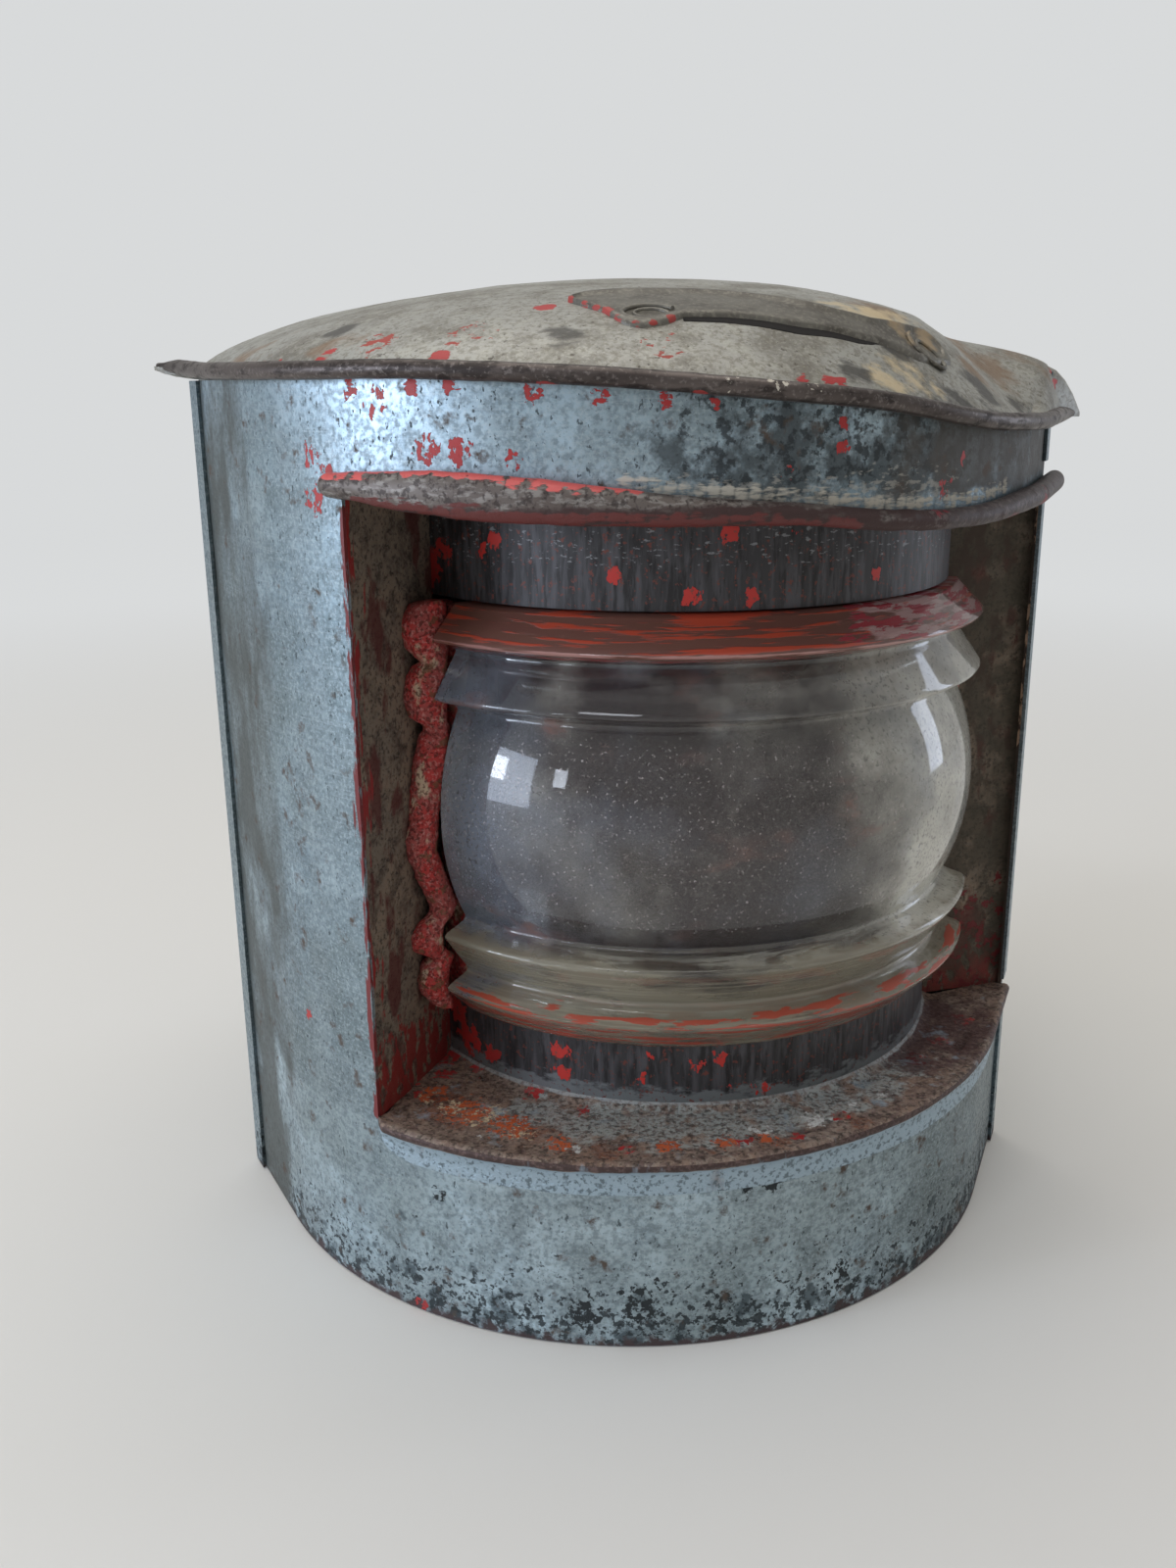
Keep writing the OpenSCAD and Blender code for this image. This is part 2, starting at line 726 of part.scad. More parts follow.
// Dished mirror behind the flame
module reflector() {
    rim_a = asin(reflector_rim_r/reflector_r);
    color(tin) at_lens(lens_mid_z) rotate([-90, 0, 0]) difference() {
        rotate_extrude() intersection() {
            difference() {
                circle(r = reflector_r + reflector_t);
                circle(r = reflector_r);
            }
            polygon([[0, 0], [2*reflector_r*tan(rim_a), 2*reflector_r], [0, 2*reflector_r]]);
        }
        cylinder(r = reflector_rivet_r + pin_gap, h = 2*reflector_r);
    }
}

bracket_y = -lens_front + reflector_r + reflector_t + 0.1;
bracket_reach = sqrt(2)*(back_d - sheet_t) - 0.07;

// Strip across the corner of the back sheets that carries the reflector
module reflector_bracket() {
    t = sheet_t;
    bend = [bracket_reach - bracket_y - t, bracket_y + t];
    tip = bend + bracket_foot*[sqrt(0.5), -sqrt(0.5)];
    right = [bend, tip, tip - t*[sqrt(0.5), sqrt(0.5)], [bracket_reach - sqrt(2)*t - bracket_y, bracket_y]];
    color(tin) translate([0, 0, lens_mid_z - bracket_h/2]) difference() {
        linear_extrude(bracket_h)
            polygon(concat(right, [for (i = [3:-1:0]) mirror_x(right[i])]));
        translate([lens_x, 0, bracket_h/2]) rotate([-90, 0, 0])
            cylinder(r = reflector_rivet_r + pin_gap, h = far);
    }
}

// Rivet that holds the reflector to its strip
module reflector_rivet() {
    y0 = reflector_r - 0.15;
    y1 = bracket_y + lens_front + sheet_t + 0.05;
    color(brass) at_lens(lens_mid_z) rotate([-90, 0, 0]) {
        translate([0, 0, y0 - 1.2]) cylinder(r = 2*reflector_rivet_r, h = 1.15);
        translate([0, 0, y0 - 0.1]) cylinder(r = reflector_rivet_r, h = y1 - y0 + 0.1);
        translate([0, 0, y1]) cylinder(r = 1.8*reflector_rivet_r, h = 1.2);
    }
}

// Ring soldered to the floor that keeps the font under the flame's place
module font_locating_ring() {
    color(tin) at_lens(sheet_t) rotate_extrude()
        translate([font_r + 2*run_gap, 0]) square([sheet_t, socket_ring_h]);
}

// Tin oil tank, open under both necks
module oil_font() {
    bead = 0.5;
    fr = [filler_c[0] - lens_c[0], filler_c[1] - lens_c[1]];
    color(tin) at_lens(font_z) difference() {
        cylinder(r = font_r, h = font_h);
        translate([0, 0, font_t]) cylinder(r = font_r - font_t, h = font_h - 2*font_t);
        translate([0, 0, font_h - 2*font_t]) cylinder(r = neck_r - neck_t, h = 3*font_t);
        translate([fr[0], fr[1], font_h - 2*font_t])
            cylinder(r = filler_r - neck_t, h = 3*font_t);
        for (z = [6, font_h - 6]) translate([0, 0, z]) rotate_extrude()
            translate([font_r + bead, 0]) circle(r = 2*bead, $fn = 24);
    }
}

// Brass neck soldered on the top of the font
module font_neck(c, r) {
    color(brass) translate([c[0], c[1], font_top_z]) difference() {
        cylinder(r = r, h = neck_h);
        translate([0, 0, -1]) cylinder(r = r - neck_t, h = neck_h + 2);
    }
}

module burner_neck() {
    font_neck(lens_c, neck_r);
}

module filler_neck() {
    font_neck(filler_c, filler_r);
}

// Brass ring that clamps the basket on the font's neck
module burner_collar() {
    color(brass) at_lens(font_top_z) rotate_extrude()
        translate([neck_r + pin_gap, 0]) square([2.2, neck_h - pin_gap]);
}

// Perforated basket with the gallery that carries the dome
module burner_basket() {
    air_rows = [0.24, 0.76];
    air_count = 14;
    color(brass) at_lens(basket_z) difference() {
        union() {
            cylinder(r = basket_r, h = basket_h);
            translate([0, 0, basket_h]) cylinder(r = gallery_r - 1, h = gallery_t);
            for (s = [-1, 1]) translate([dome_pin_x, s*(dome_knuckle_l/2 + run_gap + ear_t/2), 0])
                rotate([90, 0, 0]) {
                    translate([0, dome_pin_z - basket_z, -ear_t/2])
                        cylinder(r = dome_knuckle_r, h = ear_t);
                    translate([-dome_knuckle_r, basket_h, -ear_t/2])
                        cube([2*dome_knuckle_r, dome_pin_z - basket_z - basket_h, ear_t]);
                    translate([-dome_knuckle_r, basket_h, -ear_t/2]) cube([6, gallery_t, ear_t]);
                }
        }
        translate([0, 0, 1.2]) cylinder(r = basket_r - 1.2, h = basket_h + gallery_t);
        linear_extrude(4, center = true)
            square([wick_w + 2*tube_gap + 2*tube_t + 0.2, wick_t + 2*tube_gap + 2*tube_t + 0.2],
                center = true);
        translate([-far/2, spindle_y, spindle_z - basket_z]) rotate([0, 90, 0])
            cylinder(r = spindle_r + pin_gap, h = far);
        for (k = air_rows, i = [0:air_count - 1])
            rotate([0, 0, 360*(i + 0.5)/air_count]) translate([basket_r - 3, 0, k*basket_h])
                rotate([0, 90, 0]) cylinder(r = 1.4, h = 6, $fn = 24);
        translate([dome_pin_x, -far/2, dome_pin_z - basket_z]) rotate([-90, 0, 0])
            cylinder(r = dome_pin_r + pin_gap, h = far);
    }
}

// Flat tube that guides the wick out of the font
module wick_tube() {
    iw = wick_w + 2*tube_gap;
    it = wick_t + 2*tube_gap;
    z0 = font_top_z - 4;
    color(brass) at_lens(z0) difference() {
        linear_extrude(tube_top_z - z0) difference() {
            square([iw + 2*tube_t, it + 2*tube_t], center = true);
            square([iw, it], center = true);
        }
        for (s = [-1, 1]) translate([s*wick_w/4 - 1.2, -it - tube_t, spindle_z - z0 - spur_r - 0.6])
            cube([2.4, it, 2*spur_r + 1.2]);
    }
}

// Flat cotton wick, with its tail in the font
module wick() {
    color([0.80, 0.77, 0.68]) at_lens(wick_bottom_z) linear_extrude(wick_top_z - wick_bottom_z)
        square([wick_w, wick_t], center = true);
}

// Spindle with two toothed wheels against the wick
module wick_spindle() {
    color(brass) at_lens(spindle_z) translate([0, spindle_y, 0]) rotate([0, 90, 0]) {
        translate([0, 0, -basket_r - 1.5])
            cylinder(r = spindle_r, h = 2*basket_r + 1.5 + spindle_reach);
        for (s = [-1, 1]) translate([0, 0, s*wick_w/4 - 0.8]) linear_extrude(1.6)
            polygon([for (i = [0:2*spur_teeth - 1]) (i % 2 == 0 ? spur_r : spur_r - 1.1)
                *[cos(180*i/spur_teeth), sin(180*i/spur_teeth)]]);
    }
}

// Milled knob on the end of the spindle
module wick_knob() {
    notches = 20;
    color(brass) at_lens(spindle_z) translate([basket_r + spindle_reach - 3.5, spindle_y, 0])
        rotate([0, 90, 0]) difference() {
            union() {
                cylinder(r = knob_r, h = 2.6);
                translate([0, 0, -2]) cylinder(r = 2.6, h = 2.2);
            }
            translate([0, 0, -3]) cylinder(r = spindle_r + pin_gap, h = 8);
            for (i = [0:notches - 1]) rotate([0, 0, 360*i/notches]) translate([knob_r + 0.2, 0, -1])
                cylinder(r = 0.6, h = 5, $fn = 16);
        }
}

// Hinged dome over the wick, with the slot for the flame
module burner_dome() {
    color(brass) at_lens() difference() {
        union() {
            difference() {
                union() {
                    translate([0, 0, dome_foot_z]) cylinder(r = dome_r, h = dome_mid_z - dome_foot_z);
                    intersection() {
                        translate([0, 0, dome_mid_z]) sphere(r = dome_r);
                        translate([0, 0, dome_mid_z]) cylinder(r = 2*dome_r, h = 2*dome_r);
                    }
                    translate([dome_pin_x, -dome_knuckle_l/2, dome_mid_z - dome_knuckle_r])
                        cube([dome_r/3, dome_knuckle_l, 1.2]);
                }
                translate([0, 0, dome_mid_z]) sphere(r = dome_r - dome_t);
                translate([0, 0, dome_foot_z - 1])
                    cylinder(r = dome_r - dome_t, h = dome_mid_z - dome_foot_z + 1);
            }
            translate([dome_pin_x, -dome_knuckle_l/2, dome_pin_z]) rotate([-90, 0, 0])
                cylinder(r = dome_knuckle_r, h = dome_knuckle_l);
        }
        translate([-slot_l/2, -slot_w/2, dome_mid_z + 5]) cube([slot_l, slot_w, dome_r]);
        translate([dome_pin_x, -dome_knuckle_l, dome_pin_z]) rotate([-90, 0, 0])
            cylinder(r = dome_pin_r + pin_gap, h = 2*dome_knuckle_l);
    }
}

module dome_hinge_pin() {
    l = dome_knuckle_l + 2*run_gap + 2*ear_t + 1;
    color(brass) at_lens(dome_pin_z) translate([dome_pin_x, -l/2, 0]) rotate([-90, 0, 0])
        cylinder(r = dome_pin_r, h = l);
}

// Sealing washer on the filler neck
module filler_gasket() {
    color([0.25, 0.2, 0.17]) translate([filler_c[0], filler_c[1], basket_z + seat_gap])
        cylinder(r = filler_r - 0.2, h = gasket_t);
}

// Milled screw cap over the filler neck
module filler_cap() {
    ribs = 24;
    under = seat_gap + gasket_t + 0.1;
    color(brass) translate([filler_c[0], filler_c[1], basket_z]) difference() {
        translate([0, 0, -neck_h + 1]) cylinder(r = cap_r, h = neck_h - 1 + under + 1.2);
        translate([0, 0, -neck_h]) cylinder(r = filler_r + run_gap, h = neck_h + under);
        for (i = [0:ribs - 1]) rotate([0, 0, 360*i/ribs])
            translate([cap_r + 0.2, 0, -neck_h]) cylinder(r = 0.5, h = 2*neck_h, $fn = 16);
    }
}

// Sheet socket on the left back sheet for a flat bracket on the light board
module mounting_socket() {
    w = socket_w/2;
    t = socket_t;
    s = socket_side_w;
    d = back_d;
    color(dark_zinc) on_left_back() difference() {
        translate([0, 0, socket_z]) linear_extrude(socket_h) polygon([
            [d, w + t + s], [d, w], [d + socket_d, w], [d + socket_d, -w], [d, -w], [d, -w - t - s],
            [d + t, -w - t - s], [d + t, -w - t], [d + socket_d + t, -w - t],
            [d + socket_d + t, w + t], [d + t, w + t], [d + t, w + t + s]]);
        for (z = socket_rivet_z, y = [-socket_side_y, socket_side_y]) translate([0, y, z])
            rivet_hole(d, d + t);
    }
}

module socket_rivets() {
    color(zinc) on_left_back() for (z = socket_rivet_z, y = [-socket_side_y, socket_side_y])
        translate([0, y, z]) rivet(back_d - sheet_t, back_d + socket_t);
}

// One knuckle of the lid's hinge, between y0 and y0 + l
module knuckle(y0, l) {
    translate([axis_x, y0, axis_z]) rotate([-90, 0, 0]) cylinder(r = knuckle_r, h = l);
}

module pin_hole() {
    translate([axis_x, hinge_mid - hinge_l, axis_z]) rotate([-90, 0, 0])
        cylinder(r = pin_r + pin_gap, h = 2*hinge_l);
}

function knuckle_y(i) = hinge_mid - hinge_l/2 + i*knuckle_step + run_gap/2;

// Leaf of the lid's hinge on the right back sheet
module case_hinge_leaf() {
    color(dark_zinc) on_right_back() difference() {
        union() {
            translate([back_d, hinge_mid - hinge_l/2, axis_z - case_leaf_h])
                cube([leaf_t, hinge_l, case_leaf_h - knuckle_r + leaf_t]);
            for (i = [0:2:knuckles - 1]) {
                knuckle(knuckle_y(i), knuckle_step - run_gap);
                translate([back_d, knuckle_y(i), axis_z - knuckle_r])
                    cube([hinge_out, knuckle_step - run_gap, leaf_t]);
            }
        }
        pin_hole();
        for (y = case_rivet_y) translate([0, y, case_rivet_z]) rivet_hole(back_d, back_d + leaf_t);
    }
}

module case_hinge_rivets() {
    color(zinc) on_right_back() for (y = case_rivet_y) translate([0, y, case_rivet_z])
        rivet(back_d - sheet_t, back_d + leaf_t);
}

module lid_hinge_pin() {
    color(zinc) on_right_back() translate([axis_x, hinge_mid - hinge_l/2 - 1, axis_z])
        rotate([-90, 0, 0]) cylinder(r = pin_r, h = hinge_l + 2);
}

lid_leaf_z = flange_z - leaf_t;
lid_rivet_x = axis_x + 2.6;
lid_rivet_y = [for (i = [0, 2, 4]) knuckle_y(i) + (knuckle_step - run_gap)/2];

// Leaf of the hinge under the lid's overhanging edge
module lid_hinge_leaf() {
    web = 2*knuckle_r/3;
    color(dark_zinc) on_right_back() difference() {
        union() {
            translate([back_d + 1.5, hinge_mid - hinge_l/2, lid_leaf_z])
                cube([lid_back_over - 1.7, hinge_l, leaf_t]);
            for (i = [1:2:knuckles - 1]) {
                knuckle(knuckle_y(i), knuckle_step - run_gap);
                translate([axis_x - web, knuckle_y(i), axis_z])
                    cube([2*web, knuckle_step - run_gap, lid_leaf_z - axis_z + leaf_t/2]);
            }
        }
        pin_hole();
        for (y = lid_rivet_y) translate([lid_rivet_x, y, lid_leaf_z - 1])
            cylinder(r = lid_rivet_r + pin_gap, h = 4);
    }
}

module lid_hinge_rivets() {
    head_h = 0.4;
    r = lid_rivet_r;
    color(zinc) on_right_back() for (y = lid_rivet_y) translate([lid_rivet_x, y, 0]) {
        translate([0, 0, lid_leaf_z - head_h]) cylinder(r = r + 0.6, h = head_h);
        translate([0, 0, lid_leaf_z]) cylinder(r = r, h = leaf_t + sheet_t);
        translate([0, 0, flange_top_z]) cylinder(r = r + 1, h = rivet_head_h);
    }
}

// Distance from the axis to the pillow's edge in the direction a
function pillow_edge(a) = let (b = abs(a))
    b <= front_half_angle ? front_r - sheet_t
    : b <= corner_angle ? (front_r - sheet_t)/cos(b - front_half_angle)
    : (back_d - sheet_t)/cos(135 - b);
function pillow_rise(s) = pow(max(0, 1 - s*s), pillow_power);
pillow_half = concat([for (i = [0:pillow_arc_steps/2]) 2*front_half_angle*i/pillow_arc_steps],
    [for (i = [1:2]) front_half_angle + (corner_angle - front_half_angle)*i/2],
    [for (i = [1:pillow_side_steps]) corner_angle + (180 - corner_angle)*i/pillow_side_steps]);
pillow_dirs = concat([for (i = [len(pillow_half) - 2:-1:1]) -pillow_half[i]], pillow_half);
// Rings of the pillow are closer together near its steep edge
function ring_share(k) = sin(90*k/pillow_rings);
function pillow_pt(a, s, h, in) = let (p = s*(pillow_edge(a) - in)*ahead(a))
    [p[0], p[1], flange_top_z + h*pillow_rise(s)];

// Pressed pillow of the lid, a thin closed shell
module lid_pillow() {
    m = len(pillow_dirs);
    n = pillow_rings;
    outer = [for (k = [1:n], a = pillow_dirs) pillow_pt(a, ring_share(k), pillow_h, 0)];
    inner = [for (k = [1:n], a = pillow_dirs)
        pillow_pt(a, ring_share(k), pillow_h - sheet_t, 1.6*sheet_t)];
    tops = [[0, 0, flange_top_z + pillow_h], [0, 0, flange_top_z + pillow_h - sheet_t]];
    sides = [for (k = [0:n - 2], i = [0:m - 1]) let (j = (i + 1) % m, a = k*m, b = a + m)
        each [[a + i, b + j, b + i], [a + i, a + j, b + j]]];
    in_sides = [for (f = sides) [f[0] + n*m, f[2] + n*m, f[1] + n*m]];
    cap = [for (i = [0:m - 1]) [2*n*m, (i + 1) % m, i]];
    in_cap = [for (i = [0:m - 1]) [2*n*m + 1, n*m + i, n*m + (i + 1) % m]];
    rim = [for (i = [0:m - 1]) let (j = (i + 1) % m, a = (n - 1)*m, b = a + n*m)
        each [[a + i, a + j, b + j], [a + i, b + j, b + i]]];
    color(dark_zinc) polyhedron(concat(outer, inner, tops),
        concat([for (f = concat(sides, in_sides, cap, in_cap, rim)) [f[0], f[2], f[1]]]));
}

lid_hole_r = lid_wire_r + pin_gap;
lid_corner = corner(lid_corner_over, lid_back_over);
lid_flank = norm(corner(lid_roll_off, lid_back_over) - tangent_pt(lid_roll_off)) - lid_corner_l;

// Plan of one flat corner of the lid's edge, beside the end of the rolled edge
module lid_corner_plan() {
    inside = -lid_corner_over*ahead(front_half_angle);
    back = lid_corner - (lid_corner_l + 2)*along(front_half_angle);
    polygon([lid_corner, back, back + inside, corner(0, 0), corner(0, lid_back_over)]);
}

// Flat edge of the lid with its rolled front
module lid_flange() {
    color(dark_zinc) {
        difference() {
            translate([0, 0, flange_z]) linear_extrude(sheet_t) {
                difference() {
                    sheet_to_roll_plan(lid_roll_off - roll_flat*lid_roll_r, lid_back_over);
                    outline(-8, -8);
                }
                lid_corner_plan();
                mirror([1, 0]) lid_corner_plan();
            }
            on_right_back() for (y = lid_rivet_y) translate([lid_rivet_x, y, flange_z - 1])
                cylinder(r = lid_rivet_r + pin_gap, h = 4);
        }
        edge_sweep(lid_roll_off, lid_roll_z, -front_half_angle, lid_flank)
            roll_section(lid_roll_r, lid_hole_r);
        left_flank_sweep(lid_roll_off, lid_roll_z, lid_flank) roll_section(lid_roll_r, lid_hole_r);
    }
}

// Wire inside the round part of the lid's rolled edge
module lid_edge_wire() {
    color(dark_zinc) translate([0, 0, lid_roll_z]) turned(-front_half_angle, front_half_angle)
        translate([front_r + lid_roll_off, 0]) circle(r = lid_wire_r, $fn = roll_fn);
}

// Inner skirt that locates the lid in the case
module lid_skirt() {
    d = -sheet_t - skirt_gap;
    color(dark_zinc) translate([0, 0, flange_z - skirt_h]) linear_extrude(skirt_h)
        shell(d, d - sheet_t);
}

function on_pillow(a, r, up) = let (s = min(1, r/pillow_edge(a)))
    [r*sin(a), -r*cos(a), flange_top_z + pillow_h*pillow_rise(s) + up];
banner_steps = 26;
// The banner's ends are notched: its middle line is shorter than its edges
function banner_dir(i, v) = let (notch = 3.5*(1 - 2*abs(v)), u = i/banner_steps)
    (banner_left + notch)*(1 - u) + (banner_right - notch)*u;
// Middle line of the banner, which dips towards its ends
function banner_line(i) = banner_r - banner_bow*cos(360*i/banner_steps);

// Bare ribbon-shaped plate on the front of the pillow
module banner_plate() {
    levels = [for (v = [-0.5, -0.38, -0.37, 0, 0.37, 0.38, 0.5])
        [v, abs(v) > 0.375 ? banner_t + border_t : banner_t]];
    m = len(levels);
    n = banner_steps + 1;
    up = [for (i = [0:banner_steps], q = levels) on_pillow(banner_dir(i, q[0]),
        banner_line(i) - q[0]*banner_w, q[1])];
    low = [for (i = [0:banner_steps], q = levels) on_pillow(banner_dir(i, q[0]),
        banner_line(i) - q[0]*banner_w, 0.05)];
    top = [for (i = [0:n - 2], j = [0:m - 2]) let (a = i*m + j, b = a + m)
        each [[a, b, b + 1], [a, b + 1, a + 1]]];
    under = [for (f = top) [f[0] + n*m, f[2] + n*m, f[1] + n*m]];
    edge = concat([for (j = [0:m - 1]) j], [for (i = [1:n - 1]) i*m + m - 1],
        [for (j = [m - 2:-1:0]) (n - 1)*m + j], [for (i = [n - 2:-1:1]) i*m]);
    wall = [for (k = [0:len(edge) - 1]) let (p = edge[k], q = edge[(k + 1) % len(edge)])
        each [[p, q, q + n*m], [p, q + n*m, p + n*m]]];
    color(dark_zinc) polyhedron(concat(up, low),
        [for (f = concat(top, under, wall)) [f[0], f[2], f[1]]]);
}

post_count = 3;
post_r = 2;
post_d = 0.75*baffle_r;

// Plate under the pillow that spreads the flame's heat
module heat_baffle() {
    color(tin) translate([0, 0, flange_top_z + baffle_rise]) difference() {
        cylinder(r = baffle_r, h = sheet_t);
        translate([0, 0, -1]) cylinder(r = baffle_r/8, h = 3);
    }
}

// Posts between the pillow and the baffle
module baffle_posts() {
    z0 = flange_top_z + baffle_rise + sheet_t;
    color(tin) for (i = [0:post_count - 1]) let (a = 120*i + 30, p = post_d*ahead(a))
        translate([p[0], p[1], z0]) cylinder(r = post_r, h = flange_top_z
            + (pillow_h - sheet_t)*pillow_rise((post_d + post_r)/(pillow_edge(abs(a) > 180 ? 360 - a : a)
            - 1.6*sheet_t)) - 0.3 - z0);
}

front_sheet();
back_sheet();
base_floor();
shelf_plate();
recess_hood();
hood_edge_wire();
left_screen();
right_screen();
lower_lens_collar();
upper_lens_collar();
fresnel_lens();
left_lens_seal();
right_lens_seal();
filter_frame();
red_filter_glass();
reflector();
reflector_bracket();
reflector_rivet();
font_locating_ring();
oil_font();
burner_neck();
filler_neck();
burner_collar();
burner_basket();
wick_tube();
dome_hinge_pin();
mounting_socket();
socket_rivets();
case_hinge_leaf();
case_hinge_rivets();
lid_hinge_pin();
lid_pillow();
lid_flange();
lid_edge_wire();
lid_skirt();
banner_plate();
heat_baffle();
baffle_posts();
lid_hinge_leaf();
lid_hinge_rivets();
filler_cap();
filler_gasket();
wick();
wick_spindle();
wick_knob();
burner_dome();
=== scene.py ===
# %% [markdown]
# # A port side lamp for a ship
#
# This lesson dresses an oil-burning side lamp: a case of galvanised sheet with a round front
# and two flat backs, a recess with a ring lens, and a domed lid. The engineering model gives
# every piece its place and size. Blender gives the worn sheet, the old paint and the glass.
#
# The model is loaded first. The finished looks must not be any bigger than it is.

# %% Load the model
import math

import bmesh
import bpy
import numpy as np
from mathutils import Matrix, Vector


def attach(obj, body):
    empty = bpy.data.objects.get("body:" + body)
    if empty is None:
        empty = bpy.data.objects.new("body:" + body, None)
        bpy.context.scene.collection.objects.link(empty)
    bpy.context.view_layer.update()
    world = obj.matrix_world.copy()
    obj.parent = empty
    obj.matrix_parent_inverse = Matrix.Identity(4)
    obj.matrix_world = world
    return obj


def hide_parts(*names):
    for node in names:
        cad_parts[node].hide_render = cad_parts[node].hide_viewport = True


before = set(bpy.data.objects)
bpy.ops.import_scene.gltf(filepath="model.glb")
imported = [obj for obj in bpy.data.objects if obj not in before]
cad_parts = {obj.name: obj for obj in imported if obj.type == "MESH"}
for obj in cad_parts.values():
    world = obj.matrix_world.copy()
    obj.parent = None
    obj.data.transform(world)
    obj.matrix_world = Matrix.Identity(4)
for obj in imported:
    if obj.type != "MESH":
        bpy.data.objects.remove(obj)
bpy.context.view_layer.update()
MM = 0.001

# %% [markdown]
# ## The camera
#
# The lamp is looked at from the height of its lid, about 400 mm away and 16 degrees downwards.
# At such a short distance upright lines lean together, so the place of the camera matters as
# much as its direction. A camera could also be aimed at a target, but that keeps it level. The
# axes are written out as a matrix instead, which keeps the small roll of a camera held in the
# hand.

# %% Camera
EYE = Vector((-30.7, -396.4, 229.6)) * MM
YAW = math.radians(2.81)
SENSOR = 36                       # mm, along the longer side of the picture
FOCAL_PIXELS, PICTURE_H = 1400, 1600
side = Vector((math.cos(YAW), -math.sin(YAW), 0))
forward = Vector((math.sin(YAW), math.cos(YAW), 0))
down = Vector((0, 0, -1))
# Each axis of the camera is so much sideways, so much forwards and so much down.
cam_right = side * 0.99994 + forward * -0.00294 + down * 0.010038
cam_down = side * -0.01046 + forward * -0.281049 + down * 0.959635
cam_ahead = forward * 0.959689 + down * 0.281065
camera = bpy.data.objects.new("camera", bpy.data.cameras.new("camera"))
bpy.context.collection.objects.link(camera)
camera.matrix_world = Matrix.Translation(EYE) @ Matrix(
    (cam_right, -cam_down, -cam_ahead)).transposed().to_4x4()
camera.data.sensor_width = SENSOR
camera.data.lens = SENSOR * FOCAL_PIXELS / PICTURE_H
bpy.context.scene.camera = camera
print("camera lens, mm:", camera.data.lens)

# %% [markdown]
# ## Helpers
#
# Colours are written as sRGB hex, as in a paint program, and turned into the linear values
# that the shaders use. One function adds a node to a tree and links it.
#
# Sheet metal could be one thin surface with a Solidify modifier. Here it is made from two nets
# of points, the outer and the inner skin, joined along every free edge, because then each skin
# can have its own dents and the thickness is the real one everywhere. Rolled edges are sections
# swept along a path.

# %% Colour and nodes
def hex_colour(text):
    """A colour written as sRGB hex, turned into linear values."""
    srgb = [int(text[i:i + 2], 16) / 255 for i in (1, 3, 5)]
    return [v / 12.92 if v <= 0.04045 else ((v + 0.055) / 1.055) ** 2.4 for v in srgb] + [1.0]


def add(tree, kind, inputs=None, **settings):
    """Adds one node. Inputs are values, or the sockets that they are linked to."""
    made = tree.nodes.new("ShaderNode" + kind)
    for name, value in settings.items():
        setattr(made, name, value)
    for name, value in (inputs or {}).items():
        if isinstance(value, bpy.types.NodeSocket):
            tree.links.new(value, made.inputs[name])
        else:
            made.inputs[name].default_value = value
    return made


def new_material(name):
    made = bpy.data.materials.new(name)
    made.use_nodes = True
    made.node_tree.nodes.clear()
    return made, made.node_tree


print("half grey, #808080, is", round(hex_colour("#808080")[0], 3), "as a linear value")


# %% A mesh piece, in millimetres
SAME_POINT, NO_LENGTH = 2e-6, 1e-6    # metres: points this close are one, edges this short go


def new_piece(name, verts, faces, material, body="case", crease=38):
    """A mesh piece that moves with one body. Edges bent by more than crease degrees are sharp."""
    mesh = bpy.data.meshes.new(name)
    mesh.from_pydata([[float(c) * MM for c in v] for v in verts], [], faces)
    bm = bmesh.new()
    bm.from_mesh(mesh)
    bmesh.ops.remove_doubles(bm, verts=bm.verts, dist=SAME_POINT)
    bmesh.ops.dissolve_degenerate(bm, edges=bm.edges, dist=NO_LENGTH)
    bmesh.ops.recalc_face_normals(bm, faces=bm.faces)
    bm.to_mesh(mesh)
    bm.free()
    mesh.polygons.foreach_set("use_smooth", [True] * len(mesh.polygons))
    mesh.set_sharp_from_angle(angle=math.radians(crease))
    mesh.materials.append(material)
    made = bpy.data.objects.new(name, mesh)
    bpy.context.collection.objects.link(made)
    if body:
        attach(made, body)
    print(name, len(mesh.polygons), "faces")
    return made


print("points are given in mm, and", MM, "turns them into metres")


# %% Sheets from two nets
def plate(name, outer, inner, material, body="case", keep=None, closed=False, crease=38):
    """A sheet between two nets of points. keep says which cells of the net there are."""
    outer, inner = np.asarray(outer, float), np.asarray(inner, float)
    rows, columns = outer.shape[:2]
    last = columns if closed else columns - 1
    keep = np.ones((rows - 1, last), bool) if keep is None else keep
    number = lambda i, j: i * columns + j % columns
    under = rows * columns
    faces = []
    for i in range(rows - 1):
        for j in range(last):
            if not keep[i, j]:
                continue
            a, b, c, d = number(i, j), number(i, j + 1), number(i + 1, j + 1), number(i + 1, j)
            faces += [(a, b, c, d), (a + under, d + under, c + under, b + under)]
            left, right = j - 1, j + 1
            if closed:
                left, right = left % last, right % last
            borders = ((a, b, i - 1, j), (b, c, i, right), (c, d, i + 1, j), (d, a, i, left))
            for p, q, m, n in borders:
                if not (0 <= m < rows - 1 and 0 <= n < last and keep[m, n]):
                    faces.append((q, p, p + under, q + under))
    verts = np.concatenate([outer.reshape(-1, 3), inner.reshape(-1, 3)])
    return new_piece(name, verts, faces, material, body, crease)


